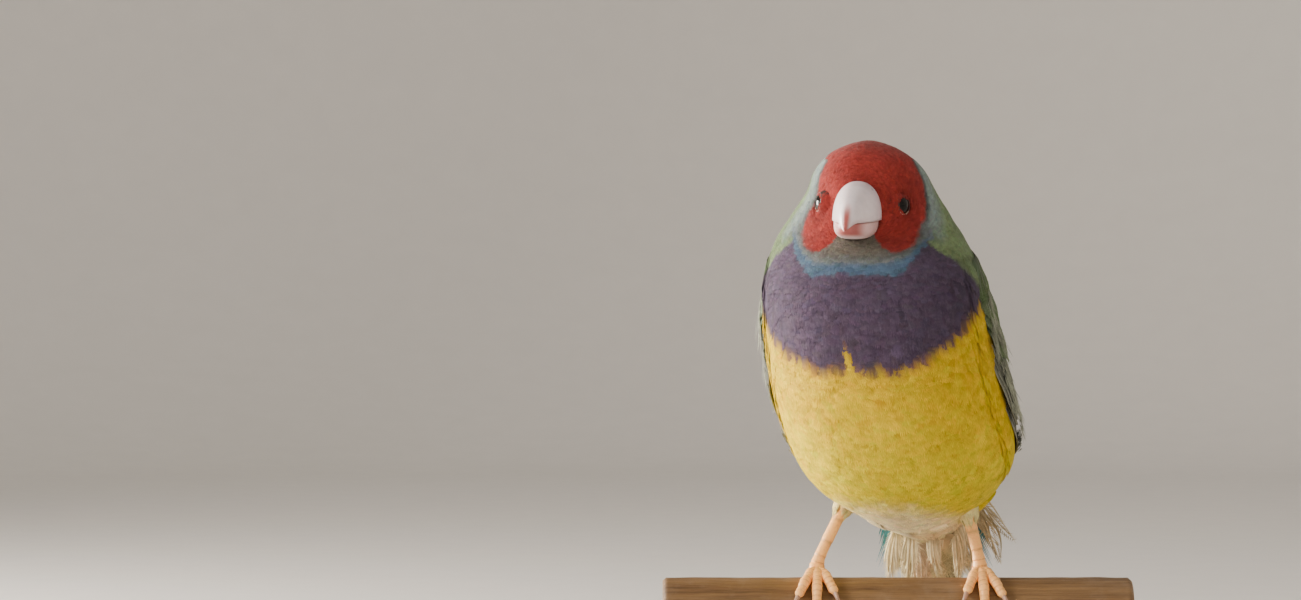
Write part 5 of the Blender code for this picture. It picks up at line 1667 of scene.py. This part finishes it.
def scaled_tube(path, radius, up, around, scutes, depth=0.10, pads=0.0):
    """Rings and colours of a leg or toe: scutes lap down its upper side, with painted shade in the grooves
    between them and painted highlight on their lapping edges, and its under side is padded.
    """
    tint = np.array(bpy.context.scene.finch_colours.leg)
    tangent = unit(np.gradient(path, axis=0))
    side = unit(np.cross(tangent, up))
    top = np.cross(side, tangent)
    turns = np.arange(around) * math.tau / around
    share = np.linspace(0.0, 1.0, len(path))[:, None]
    lap = (share * scutes) % 1.0
    upper = smoothstep((np.cos(turns)[None, :] + 0.35) / 0.5)
    swell = 1.0 + depth * (lap**1.4 - 0.4) * upper
    pebble = 0.03 * np.sin(share * scutes * 19.0 + 5 * turns[None, :]) * np.sin(7 * turns)[None, :]
    pebble = pebble * (1 - upper)
    pad = pads * np.abs(np.sin(share * math.pi * 3)) * (1 - upper)
    wide = radius[:, None] * (swell + pad + pebble)
    rings = (path[:, None, :] + top[:, None, :] * (wide * np.cos(turns))[..., None]
             + side[:, None, :] * (wide * np.sin(turns))[..., None])
    # Painted shade in the grooves between scutes, and painted highlight where each scute's edge stands out
    groove_shade = np.exp(-((lap / 0.10) ** 2)) + np.exp(-(((1 - lap) / 0.07) ** 2))
    shade = 1.0 - 0.34 * groove_shade * upper + 0.10 * lap * upper
    paint = tint[None, None, :] * shade[..., None]
    paint = mix(paint, tint * [1.12, 0.80, 0.72], 0.5 * (1 - upper))
    return rings, paint


def off_perch(path):
    """From the perch's axis straight out to each point of a path."""
    return path * [0.0, 1.0, 1.0] + [0.0, 0.0, PERCH_RADIUS]


def tube_mesh(path, rings, tints):
    """A closed tube of rings, whose poles are the ends of its path."""
    placed = over_perch(path)
    return ring_bmesh(rings, placed[0], placed[-1], tints)


def toe_mesh(foot_x, outward, toe):
    """A toe laid round the perch, swollen at its joints and rounded off at its tip."""
    shares = np.linspace(0.0, 1.0, TOE_RINGS)
    x, angle = toe_path(foot_x, outward, toe, shares)
    joint = 0.5 + 0.5 * np.cos(shares * math.tau * toe.joints)
    radius = TOE_RADIUS * (1.16 - 0.30 * shares + 0.13 * joint)
    radius *= np.sqrt(np.clip((1.0 - shares) / 0.05, 0.15, 1.0))
    path = perch_point(x, angle, PERCH_RADIUS + 0.08 + radius)
    scutes = round(np.abs(toe.reach) * (PERCH_RADIUS + TOE_RADIUS) / SCUTE)
    rings, tints = scaled_tube(over_perch(path), radius, off_perch(path), TOE_AROUND, scutes, 0.12, 0.10)
    return tube_mesh(path, rings, tints)


def claw_mesh(foot_x, outward, toe):
    """A claw that carries on from its toe round the perch, flattened at its sides and dark at its tip."""
    arc = CLAW_ARC / (PERCH_RADIUS + CLAW_RADIUS) / abs(toe.reach)
    shares = np.linspace(0.0, 1.0, CLAW_RINGS)
    x, angle = toe_path(foot_x, outward, toe, 0.985 + arc * shares)
    radius = CLAW_RADIUS * (1.0 - 0.86 * shares**1.25) * np.sqrt(np.clip(shares / 0.06, 0.3, 1.0))
    path = perch_point(x, angle, PERCH_RADIUS + 0.22 + radius + 0.75 * np.sin(math.pi * shares**0.8))
    rings, _ = scaled_tube(over_perch(path), radius, off_perch(path), CLAW_AROUND, 1, 0.0)
    rings = path_squeeze(rings, over_perch(path), CLAW_SQUEEZE)
    tints = mix(np.tile(CLAW_PALE, (CLAW_RINGS, CLAW_AROUND, 1)), CLAW_DARK,
                np.tile(shares[:, None] ** 1.5, (1, CLAW_AROUND)))
    return tube_mesh(path, rings, tints)


def make_foot(name):
    """A leg with its four toes as one piece, and their claws. Returns the leg's top and its direction."""
    foot_x = FOOT_X[name]
    outward = 1 if name == "left" else -1
    ankle = np.array([foot_x, ANKLE_BACK, ANKLE_HEIGHT])
    top = np.array(LEG_TOP[name])
    rise = unit(top - ankle)
    _, angle = toe_path(foot_x, outward, TOES["middle"], 0.0)
    heart = perch_point(np.array(foot_x), np.array(angle), PERCH_RADIUS + GAP + 1.15)
    knots = np.array([heart - rise * 0.2, heart + (ankle - heart) * 0.5, ankle + rise * FOOT_STUB, top,
                      top + rise * 2.5])
    share = np.linspace(0.0, 4.0, LEG_RINGS)[::-1]
    path = spline(np.arange(5.0), knots, share)
    radius = table(LEG_RADII, share)
    scutes = round(np.linalg.norm(top - heart) / (SCUTE * 1.5))
    up = np.tile([0.0, -1.0, 0.25], (len(path), 1))
    whole = tube_mesh(path, *scaled_tube(over_perch(path), radius, up, LEG_AROUND, scutes))
    for kind, toe in TOES.items():
        part = toe_mesh(foot_x, outward, toe)
        spare = bpy.data.meshes.new("toe")
        part.to_mesh(spare)
        part.free()
        whole.from_mesh(spare)
        bpy.data.meshes.remove(spare)
        claw = claw_mesh(foot_x, outward, toe)
        piece = bmesh_object(f"claw_{kind}_horn_{name}", claw, [horn("pale_claw")], place=np.asarray)
        place_piece(piece, "pale_claw", f"claw_{kind}_{name}")
    piece = bmesh_object(f"leg_skin_{name}", whole, [leg_material()], place=np.asarray)
    place_piece(piece, "flesh_skin", f"tarsus_{name}", f"foot_{name}")
    return top, rise


def path_squeeze(rings, path, share):
    """Rings narrowed sideways, along X, about their path."""
    squeezed = rings.copy()
    squeezed[..., 0] = path[:, None, 0] + (rings[..., 0] - path[:, None, 0]) * share
    return squeezed


THIGH_LENGTH = 6.0
THIGH_RADIUS = 2.9
THIGH_FEATHERS = 150


def make_thigh(name, top, rise):
    """The small feathers round the top of a leg, where it leaves the belly."""
    draw = np.random.default_rng(SEED + 90 + len(name))
    colours = bpy.context.scene.finch_colours
    across = unit(np.cross(rise, [0.0, 1.0, 0.0]))
    front = np.cross(across, rise)

    def sheet(along, turn, out):
        along, turn, out = np.broadcast_arrays(along, turn, out)
        share = np.clip(along / THIGH_LENGTH, -0.4, 1.0)
        radius = 1.0 + (THIGH_RADIUS - 1.0) * np.sqrt(np.clip(share + 0.05, 0.0, 1.0)) + out
        ring = across * np.cos(turn)[..., None] + front * np.sin(turn)[..., None]
        return top - rise * 1.9 + rise * along[..., None] + ring * radius[..., None]

    template = barbed_template(6, 0.42, 0.35, 0.5)
    along = draw.uniform(0.6, THIGH_LENGTH + 0.5, THIGH_FEATHERS)
    turn = draw.uniform(-math.pi, math.pi, THIGH_FEATHERS)
    way = np.tile(-rise, (THIGH_FEATHERS, 1)) + draw.normal(0, 0.12, (THIGH_FEATHERS, 3))
    laid = lay(sheet, along, turn, way, draw.uniform(2.0, 3.0, THIGH_FEATHERS),
               draw.uniform(1.0, 1.5, THIGH_FEATHERS), np.full(THIGH_FEATHERS, -0.5),
               draw.uniform(0.0, 0.25, THIGH_FEATHERS), template, draw, camber=0.08, step=0.02)
    base = mix(np.tile(np.array(colours.vent), (THIGH_FEATHERS, 1)), colours.belly,
               np.full(THIGH_FEATHERS, 0.35))
    tints = feather_tints(laid, base, template, draw)
    batch = Barbs()
    places = np.stack([turn / math.tau * 0.9 + 0.5, along / (THIGH_LENGTH + 1)], axis=-1)
    batch.add(template, over_perch(laid.points), tints, places)
    place_piece(batch.make(f"coat_thigh_{name}", plumage("silky"), 55), "pale_plumage")


def make_legs():
    for name in ("left", "right"):
        make_thigh(name, *make_foot(name))


# Perch
PERCH_CHAMFER = 0.7
PERCH_ROWS = 170
PERCH_AROUND = 96


def make_perch():
    """A cut length of dowel, worn a little uneven, with fine raised grain and flat sawn ends."""
    start, end = PERCH_LOW.x, PERCH_HIGH.x
    cap = [(start, PERCH_RADIUS * 0.5), (start, PERCH_RADIUS * 0.85), (start, PERCH_RADIUS - PERCH_CHAMFER)]
    middle = [(x, PERCH_RADIUS) for x in np.linspace(start + PERCH_CHAMFER, end - PERCH_CHAMFER, PERCH_ROWS)]
    profile = cap + middle + [(end - (x - start), radius) for x, radius in cap[::-1]]
    turns = np.arange(PERCH_AROUND) * math.tau / PERCH_AROUND
    rings = []
    for x, radius in profile:
        ring = np.stack([np.full_like(turns, x), radius * np.cos(turns), radius * np.sin(turns)], axis=-1)
        if radius == PERCH_RADIUS:
            dents = 0.045 * (wave(ring, 9.0, 31) - 1.0)
            dents = dents + 0.02 * (wave(ring * [0.12, 1.0, 1.0], 0.9, 32) - 1.0)
            ring[:, 1:] *= 1.0 + np.minimum(dents, 0.0)[:, None] / radius
        rings.append(ring + [0.0, PERCH_Y, PERCH_Z])
    mesh = ring_bmesh(np.array(rings), (start, PERCH_Y, PERCH_Z), (end, PERCH_Y, PERCH_Z))
    place_piece(bmesh_object("perch_dowel", mesh, [perch_material()], place=np.asarray, angle=50),
                "perch_wood", "perch")


# Materials
def set_inputs(tree, node, inputs):
    """Gives a node's inputs their values, or links them to the outputs of other nodes."""
    for key, value in inputs.items():
        if isinstance(value, bpy.types.NodeSocket):
            tree.links.new(value, node.inputs[key])
        else:
            node.inputs[key].default_value = value


def add_node(tree, kind, inputs=None, **settings):
    """A node with its settings, whose inputs are given values or another node's outputs."""
    made = tree.nodes.new(kind)
    for key, value in settings.items():
        setattr(made, key, value)
    set_inputs(tree, made, inputs or {})
    return made


def map_range(tree, value, **limits):
    """A value moved from one range to another, whose ends are 0 and 1 unless they are given."""
    ends = {key.replace("_", " ").title(): limit for key, limit in limits.items()}
    return add_node(tree, "ShaderNodeMapRange", {"Value": value, **ends}).outputs[0]


def shade_colour(tree, tint, factor):
    """A colour times a factor."""
    inputs = {0: tint, "Scale": factor}
    return add_node(tree, "ShaderNodeVectorMath", inputs, operation="SCALE").outputs[0]


def new_group(name, inputs, outputs):
    """An empty shader node group with its named inputs, as (name, socket type, default), and outputs."""
    group = bpy.data.node_groups.new(name, "ShaderNodeTree")
    for label, kind, default in inputs:
        socket = group.interface.new_socket(name=label, in_out="INPUT", socket_type=kind)
        socket.default_value = default
    for label, kind in outputs:
        group.interface.new_socket(name=label, in_out="OUTPUT", socket_type=kind)
    return group, group.nodes.new("NodeGroupInput"), group.nodes.new("NodeGroupOutput")


def arithmetic(tree, operation, first, second=0.0):
    return add_node(tree, "ShaderNodeMath", {0: first, 1: second}, operation=operation).outputs[0]


def barbs_group():
    """Fine barbs that slant from a feather's shaft to its edges, read from the feather's own map, with
    painted shade that darkens the colour in the grooves between them.
    """
    if "Barbs" in bpy.data.node_groups:
        return bpy.data.node_groups["Barbs"]
    group, given, out = new_group(
        "Barbs",
        [("Colour", "NodeSocketColor", (0.5, 0.5, 0.5, 1.0)), ("Count", "NodeSocketFloat", 20.0),
         ("Slant", "NodeSocketFloat", 0.4), ("Contrast", "NodeSocketFloat", 0.4)],
        [("Colour", "NodeSocketColor"), ("Height", "NodeSocketFloat"), ("Roughness", "NodeSocketFloat")],
    )
    place = add_node(group, "ShaderNodeUVMap", uv_map="Vane")
    split = add_node(group, "ShaderNodeSeparateXYZ", {0: place.outputs[0]})
    coords = add_node(group, "ShaderNodeTexCoord")
    noise = add_node(group, "ShaderNodeTexNoise",
                     {"Vector": coords.outputs["Object"], "Scale": 900.0, "Detail": 2.0})
    middle = arithmetic(group, "ABSOLUTE", arithmetic(group, "SUBTRACT", split.outputs[0], 0.5))
    slanted = arithmetic(group, "MULTIPLY", middle, given.outputs["Slant"])
    along = arithmetic(group, "SUBTRACT", split.outputs[1], slanted)
    wander = arithmetic(group, "MULTIPLY", noise.outputs["Fac"], 0.09)
    turns = arithmetic(group, "MULTIPLY", arithmetic(group, "ADD", along, wander), given.outputs["Count"])
    ripple = arithmetic(group, "SINE", arithmetic(group, "MULTIPLY", turns, math.tau))
    height = map_range(group, ripple, from_min=-1.0)
    # Painted shade: the colour darkens in the grooves between barbs, as much as Contrast says
    groove_shade = arithmetic(group, "SUBTRACT", 1.0, height)
    dark = arithmetic(group, "SUBTRACT", 1.0,
                      arithmetic(group, "MULTIPLY", groove_shade, given.outputs["Contrast"]))
    blotch = map_range(group, noise.outputs["Fac"], from_min=0.3, from_max=0.7, to_min=0.88, to_max=1.12)
    shaded = shade_colour(group, given.outputs["Colour"], arithmetic(group, "MULTIPLY", dark, blotch))
    rough = map_range(group, height, to_min=0.75, to_max=0.45)
    set_inputs(group, out, {"Colour": shaded, "Height": height, "Roughness": rough})
    return group


def material_with(name):
    """A new material with an empty tree but for its shader: the material, its tree and its shader."""
    made = bpy.data.materials.new(name)
    made.use_nodes = True
    return made, made.node_tree, made.node_tree.nodes["Principled BSDF"]


# contrast is the strength of the painted shade in the grooves between barbs
Finish = namedtuple("Finish", "count slant contrast roughness specular bump sheen")
FINISHES = {
    "velvet": Finish(5.0, 0.9, 0.16, 0.85, 0.06, 0.0, 3.0),
    "soft": Finish(7.0, 0.9, 0.16, 0.80, 0.08, 0.0, 1.5),
    "silky": Finish(4.0, 1.2, 0.12, 0.75, 0.05, 0.0, 0.3),
    "covert": Finish(16.0, 0.8, 0.35, 0.60, 0.20, 0.25, 1.0),
    "flight": Finish(85.0, 0.12, 0.40, 0.50, 0.25, 0.35, 1.0),
    "tail": Finish(120.0, 0.08, 0.35, 0.42, 0.38, 0.35, 1.0),
}


def plumage(kind):
    """The finish of one kind of feathers, over the colours painted on them."""
    name = f"plumage_{kind}"
    if name in bpy.data.materials:
        return bpy.data.materials[name]
    made, tree, shader = material_with(name)
    paint = add_node(tree, "ShaderNodeAttribute", attribute_name="Paint")
    if kind == "skin":
        coords = add_node(tree, "ShaderNodeTexCoord")
        grain = add_node(tree, "ShaderNodeTexNoise", {"Vector": coords.outputs["Object"], "Scale": 1500.0})
        tone = map_range(tree, grain.outputs["Fac"], to_min=0.5, to_max=1.4)
        shaded = shade_colour(tree, paint.outputs["Color"], tone)
        set_inputs(tree, shader, {"Base Color": shaded, "Roughness": 0.85, "Specular IOR Level": 0.15})
        return made
    finish = FINISHES[kind]
    barbs = add_node(tree, "ShaderNodeGroup", {
        "Colour": paint.outputs["Color"], "Count": finish.count, "Slant": finish.slant,
        "Contrast": finish.contrast,
    }, node_tree=barbs_group())
    set_inputs(tree, shader, {
        "Base Color": barbs.outputs["Colour"], "Roughness": finish.roughness,
        "Specular IOR Level": finish.specular, "Sheen Roughness": 0.5,
        "Sheen Weight": bpy.context.scene.finch_coat.sheen * finish.sheen,
    })
    if finish.bump:
        bump = add_node(tree, "ShaderNodeBump", {"Height": barbs.outputs["Height"], "Strength": finish.bump,
                                                 "Distance": 0.00005})
        set_inputs(tree, shader, {"Normal": bump.outputs[0]})
    return made


def painted(name, scale, stretch, low, high, roughness, specular, bump, distance):
    """A material of painted colours under a fine pattern on the piece: the material and its shader."""
    if name in bpy.data.materials:
        return bpy.data.materials[name], None
    made, tree, shader = material_with(name)
    paint = add_node(tree, "ShaderNodeAttribute", attribute_name="Paint")
    coords = add_node(tree, "ShaderNodeTexCoord")
    placed = add_node(tree, "ShaderNodeMapping", {"Vector": coords.outputs["Object"], "Scale": stretch})
    grain = add_node(tree, "ShaderNodeTexNoise",
                     {"Vector": placed.outputs[0], "Scale": scale, "Detail": 4.0})
    tone = map_range(tree, grain.outputs["Fac"], from_min=0.3, from_max=0.7, to_min=low, to_max=high)
    rough = map_range(tree, grain.outputs["Fac"], to_min=roughness * 0.8, to_max=roughness * 1.2)
    relief = add_node(tree, "ShaderNodeBump",
                      {"Height": grain.outputs["Fac"], "Strength": bump, "Distance": distance})
    set_inputs(tree, shader, {
        "Base Color": shade_colour(tree, paint.outputs["Color"], tone), "Roughness": rough,
        "Specular IOR Level": specular, "Normal": relief.outputs[0],
    })
    return made, shader


def soften(made, shader, weight, radius, scale):
    """Lets a little light into a material."""
    set_inputs(made.node_tree, shader, {
        "Subsurface Weight": weight, "Subsurface Radius": radius, "Subsurface Scale": scale,
    })


def horn(slot):
    """Smooth horn: a little light goes into it, and faint growth lines cross it."""
    made, shader = painted(f"horn_{slot}", 500.0, (0.5, 1.6, 1.6), 0.93, 1.05, 0.34, 0.5, 0.15, 0.00012)
    if shader:
        soften(made, shader, 0.25, (1.0, 0.5, 0.35), 0.0006)
    return made


def leg_material():
    """Thin scaly skin of the legs and toes."""
    made, shader = painted("leg_skin", 2600.0, (1.0, 1.0, 1.0), 0.86, 1.12, 0.42, 0.45, 0.4, 0.00006)
    if shader:
        soften(made, shader, 0.12, (1.0, 0.35, 0.2), 0.0008)
    return made


def eye_material():
    """The eye's dark brown, under its wet front."""
    made, shader = painted("wet_eye", 1200.0, (1.0, 1.0, 1.0), 0.9, 1.1, 0.04, 0.2, 0.0, 0.00001)
    if shader:
        set_inputs(made.node_tree, shader, {"Coat Weight": 0.1, "Coat Roughness": 0.01})
    return made


def lid_material():
    """Bare wrinkled skin of the lids."""
    return painted("lid_skin", 2200.0, (1.0, 1.0, 1.0), 0.75, 1.2, 0.45, 0.4, 0.5, 0.00008)[0]


def grain_group():
    """Wood grain that runs along X: long fibres, pores and slow bands of colour."""
    if "Wood grain" in bpy.data.node_groups:
        return bpy.data.node_groups["Wood grain"]
    group, given, out = new_group(
        "Wood grain",
        [("Light", "NodeSocketColor", (0.5, 0.35, 0.2, 1.0)),
         ("Dark", "NodeSocketColor", (0.25, 0.15, 0.08, 1.0)),
         ("Fibres", "NodeSocketFloat", 900.0), ("Wear", "NodeSocketFloat", 0.3)],
        [("Colour", "NodeSocketColor"), ("Height", "NodeSocketFloat"), ("Roughness", "NodeSocketFloat")],
    )
    coords = add_node(group, "ShaderNodeTexCoord")
    long = add_node(group, "ShaderNodeMapping",
                    {"Vector": coords.outputs["Object"], "Scale": (0.045, 1.0, 1.0)})
    fibres = add_node(group, "ShaderNodeTexNoise", {
        "Vector": long.outputs[0], "Scale": given.outputs["Fibres"], "Detail": 5.0, "Roughness": 0.7,
    })
    bands = add_node(group, "ShaderNodeTexNoise", {"Vector": long.outputs[0], "Scale": 160.0, "Detail": 2.0,
                                                   "Distortion": 0.6})
    both = arithmetic(group, "MULTIPLY",
                      arithmetic(group, "ADD", fibres.outputs["Fac"], bands.outputs["Fac"]), 0.5)
    share = map_range(group, both, from_min=0.36, from_max=0.64)
    tint = add_node(group, "ShaderNodeMix", {"Factor": share, "A": given.outputs["Dark"],
                                             "B": given.outputs["Light"]}, data_type="RGBA")
    patches = add_node(group, "ShaderNodeTexNoise", {"Vector": coords.outputs["Object"], "Scale": 70.0,
                                                     "Detail": 6.0, "Roughness": 0.65})
    worn = map_range(group, patches.outputs["Fac"], from_min=0.52, from_max=0.72)
    worn = arithmetic(group, "MULTIPLY", worn, given.outputs["Wear"])
    pale = add_node(group, "ShaderNodeMix", {"Factor": worn, "A": tint.outputs["Result"],
                                             "B": (0.62, 0.54, 0.44, 1.0)}, data_type="RGBA")
    rough = map_range(group, share, to_min=0.72, to_max=0.48)
    set_inputs(group, out, {"Colour": pale.outputs["Result"], "Height": share, "Roughness": rough})
    return group


def wood(name, light, dark, fibres, wear, relief):
    made, tree, shader = material_with(name)
    grain = add_node(tree, "ShaderNodeGroup", {
        "Light": (*light, 1.0), "Dark": (*dark, 1.0), "Fibres": fibres, "Wear": wear,
    }, node_tree=grain_group())
    bump = add_node(tree, "ShaderNodeBump",
                    {"Height": grain.outputs["Height"], "Strength": 0.6, "Distance": relief})
    set_inputs(tree, shader, {
        "Base Color": grain.outputs["Colour"], "Roughness": grain.outputs["Roughness"],
        "Normal": bump.outputs[0],
    })
    return made


def perch_material():
    return wood("perch_wood", (0.26, 0.145, 0.055), (0.085, 0.040, 0.014), 1500.0, 0.12, 0.0003)


def steel_material():
    """Brushed steel, its fine scratches running up the rods."""
    made, tree, shader = material_with("stand_steel")
    coords = add_node(tree, "ShaderNodeTexCoord")
    placed = add_node(tree, "ShaderNodeMapping",
                      {"Vector": coords.outputs["Object"], "Scale": (1.0, 1.0, 0.02)})
    lines = add_node(tree, "ShaderNodeTexNoise",
                     {"Vector": placed.outputs[0], "Scale": 5000.0, "Detail": 3.0})
    tone = map_range(tree, lines.outputs["Fac"], to_min=0.42, to_max=0.66)
    tint = add_node(tree, "ShaderNodeCombineColor", {0: tone, 1: tone, 2: tone})
    rough = map_range(tree, lines.outputs["Fac"], to_min=0.24, to_max=0.42)
    set_inputs(tree, shader, {"Base Color": tint.outputs[0], "Roughness": rough, "Metallic": 1.0})
    return made


def make_stand():
    """Finishes of the base and rods, whose solids stay."""
    base = wood("stand_wood", (0.13, 0.068, 0.038), (0.045, 0.022, 0.013), 1100.0, 0.0, 0.00006)
    steel = steel_material()
    for name, finish in (("stand_base", base), ("stand_rod_left", steel), ("stand_rod_right", steel)):
        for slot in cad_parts[name].material_slots:
            slot.material = finish


# Stage, lights and camera
IMAGE_WIDTH = 1301
MM_PER_PIXEL = 0.192
PICTURE_MIDDLE = (-47.3, 53.2)
CAMERA_DISTANCE = 750.0
FLOOR_RADIUS = 1.5
COVE_RADIUS = 0.5
COVE_HEIGHT = 2.4
COVE_STEPS = 96
SKY_TINT = (1.0, 0.98, 0.95, 1.0)
SKY_STRENGTH = 0.48
WARM = (1.0, 0.93, 0.84)
COOL = (0.96, 0.97, 1.0)
LIGHTS_AIM = (0.0, 0.0, 0.09)


def floor_material():
    made, tree, shader = material_with("studio_floor")
    coords = add_node(tree, "ShaderNodeTexCoord")
    paper = add_node(tree, "ShaderNodeTexNoise",
                     {"Vector": coords.outputs["Object"], "Scale": 60.0, "Detail": 5.0})
    tint = bpy.context.scene.finch_stage.floor
    tone = add_node(tree, "ShaderNodeMix", {
        "Factor": paper.outputs["Fac"], "A": (*(c * 0.97 for c in tint), 1.0),
        "B": (*(c * 1.03 for c in tint), 1.0),
    }, data_type="RGBA")
    set_inputs(tree, shader, {
        "Base Color": tone.outputs["Result"], "Roughness": 0.9, "Specular IOR Level": 0.1,
    })
    return made


def add_light(name, place, width, power, tint, mirrored=True):
    """A soft square light at a place in metres, turned to the bird, that the camera doesn't see."""
    data = bpy.data.lights.new(name, "AREA")
    data.shape = "SQUARE"
    data.size = width
    data.energy = power
    data.color = tint
    lamp = object_from(name, data)
    lamp.location = place
    lamp.rotation_euler = (Vector(LIGHTS_AIM) - Vector(place)).to_track_quat("-Z", "Y").to_euler()
    lamp.visible_camera = False
    lamp.visible_glossy = mirrored


def make_cove():
    """A round pale floor that curves up into a wall."""
    mesh = bmesh.new()
    profile = [(0.0, 0.0), (FLOOR_RADIUS, 0.0)]
    for turn in np.linspace(0.0, math.pi / 2, 13)[1:]:
        profile.append((FLOOR_RADIUS + COVE_RADIUS * math.sin(turn), COVE_RADIUS * (1 - math.cos(turn))))
    profile.append((FLOOR_RADIUS + COVE_RADIUS, COVE_HEIGHT))
    verts = [mesh.verts.new((radius, 0.0, height)) for radius, height in profile]
    edges = [mesh.edges.new(pair) for pair in zip(verts, verts[1:])]
    bmesh.ops.spin(mesh, geom=verts + edges, cent=(0, 0, 0), axis=(0, 0, 1), dvec=(0, 0, 0), angle=math.tau,
                   steps=COVE_STEPS, use_merge=True, use_duplicate=False)
    bmesh.ops.remove_doubles(mesh, verts=mesh.verts[:], dist=1e-5)
    bmesh.ops.recalc_face_normals(mesh, faces=mesh.faces[:])
    data = bpy.data.meshes.new("studio_cove")
    mesh.to_mesh(data)
    mesh.free()
    data.materials.append(floor_material())
    data.shade_smooth()
    object_from("studio_cove", data)


def make_camera():
    """The camera, level with the picture's middle, as far off as keeps the photo's flat view."""
    eye = bpy.data.cameras.new("photo_view")
    eye.sensor_fit = "HORIZONTAL"
    eye.angle = 2 * math.atan(IMAGE_WIDTH * MM_PER_PIXEL / 2 / CAMERA_DISTANCE)
    view = object_from("photo_view", eye)
    x, z = PICTURE_MIDDLE
    view.location = (x * MM, (PERCH_Y - CAMERA_DISTANCE) * MM, (z + PERCH_TOP) * MM)
    view.rotation_euler = (math.pi / 2, 0.0, 0.0)
    bpy.context.scene.camera = view


def make_stage():
    """A round pale cove, three soft lights, a pale sky and the camera."""
    make_cove()
    stage = bpy.context.scene.finch_stage
    add_light("key_light", (-0.82, -0.36, 0.42), 0.32, stage.key, WARM)
    add_light("rim_light", (-0.76, 0.30, 0.16), 0.30, stage.rim, WARM)
    add_light("fill_light", (0.35, -1.05, 0.25), 0.90, stage.fill, COOL, mirrored=False)
    world = bpy.context.scene.world or bpy.data.worlds.new("studio_sky")
    bpy.context.scene.world = world
    world.use_nodes = True
    sky = world.node_tree.nodes["Background"]
    set_inputs(world.node_tree, sky, {"Color": SKY_TINT, "Strength": SKY_STRENGTH})
    make_camera()


# Operators and the panel
class FINCH_OT_skin(bpy.types.Operator):
    """Makes the one skin of head, neck and body, and the lids"""

    bl_idname = "finch.skin"
    bl_label = "Skin and lids"

    def execute(self, context):
        make_skin()
        return {"FINISHED"}


class FINCH_OT_coat(bpy.types.Operator):
    """Makes the small feathers of the head, neck and body"""

    bl_idname = "finch.coat"
    bl_label = "Body feathers"

    def execute(self, context):
        make_coat()
        return {"FINISHED"}


class FINCH_OT_wings(bpy.types.Operator):
    """Makes the folded wings"""

    bl_idname = "finch.wings"
    bl_label = "Wings"

    def execute(self, context):
        make_wings()
        return {"FINISHED"}


class FINCH_OT_tail(bpy.types.Operator):
    """Makes the tail and its coverts"""

    bl_idname = "finch.tail"
    bl_label = "Tail"

    def execute(self, context):
        make_tail()
        return {"FINISHED"}


class FINCH_OT_plumes(bpy.types.Operator):
    """Makes the frayed plumes and down at the vent"""

    bl_idname = "finch.plumes"
    bl_label = "Vent plumes"

    def execute(self, context):
        make_plumes()
        return {"FINISHED"}


class FINCH_OT_bill(bpy.types.Operator):
    """Makes both halves of the bill"""

    bl_idname = "finch.bill"
    bl_label = "Bill"

    def execute(self, context):
        make_bill()
        return {"FINISHED"}


class FINCH_OT_eyes(bpy.types.Operator):
    """Makes the eyes"""

    bl_idname = "finch.eyes"
    bl_label = "Eyes"

    def execute(self, context):
        make_eyes()
        return {"FINISHED"}


class FINCH_OT_legs(bpy.types.Operator):
    """Makes the legs, toes, claws and the feathers at the legs' tops"""

    bl_idname = "finch.legs"
    bl_label = "Legs and claws"

    def execute(self, context):
        make_legs()
        return {"FINISHED"}


class FINCH_OT_perch(bpy.types.Operator):
    """Makes the cut length of dowel"""

    bl_idname = "finch.perch"
    bl_label = "Perch"

    def execute(self, context):
        make_perch()
        return {"FINISHED"}


class FINCH_OT_stand(bpy.types.Operator):
    """Gives the base and rods their finishes"""

    bl_idname = "finch.stand"
    bl_label = "Stand"

    def execute(self, context):
        make_stand()
        return {"FINISHED"}


class FINCH_OT_stage(bpy.types.Operator):
    """Makes the floor, the lights and the camera"""

    bl_idname = "finch.stage"
    bl_label = "Stage"

    def execute(self, context):
        make_stage()
        return {"FINISHED"}


OPERATORS = (
    FINCH_OT_skin, FINCH_OT_coat, FINCH_OT_wings, FINCH_OT_tail, FINCH_OT_plumes, FINCH_OT_bill,
    FINCH_OT_eyes, FINCH_OT_legs, FINCH_OT_perch, FINCH_OT_stand, FINCH_OT_stage,
)


class FINCH_PT_pieces(bpy.types.Panel):
    """Lists the finch's pieces and the values a user may change"""

    bl_idname = "FINCH_PT_pieces"
    bl_label = "Gouldian finch"
    bl_space_type = "VIEW_3D"
    bl_region_type = "UI"
    bl_category = "Finch"

    def draw(self, context):
        for operator in OPERATORS:
            self.layout.operator(operator.bl_idname)
        for group in (context.scene.finch_colours, context.scene.finch_coat, context.scene.finch_stage):
            for name in group.bl_rna.properties.keys():
                if name not in ("rna_type", "name"):
                    self.layout.prop(group, name)


CLASSES = (FinchColours, FinchCoat, FinchStage, *OPERATORS, FINCH_PT_pieces)


def register():
    for made in CLASSES:
        bpy.utils.register_class(made)
    bpy.types.Scene.finch_colours = bpy.props.PointerProperty(type=FinchColours)
    bpy.types.Scene.finch_coat = bpy.props.PointerProperty(type=FinchCoat)
    bpy.types.Scene.finch_stage = bpy.props.PointerProperty(type=FinchStage)


def unregister():
    del bpy.types.Scene.finch_stage
    del bpy.types.Scene.finch_coat
    del bpy.types.Scene.finch_colours
    for made in reversed(CLASSES):
        bpy.utils.unregister_class(made)


def main():
    register()
    bpy.ops.finch.skin()
    bpy.ops.finch.coat()
    bpy.ops.finch.wings()
    bpy.ops.finch.tail()
    bpy.ops.finch.plumes()
    bpy.ops.finch.bill()
    bpy.ops.finch.eyes()
    bpy.ops.finch.legs()
    bpy.ops.finch.perch()
    bpy.ops.finch.stand()
    bpy.ops.finch.stage()


if __name__ == "__main__":
    main()
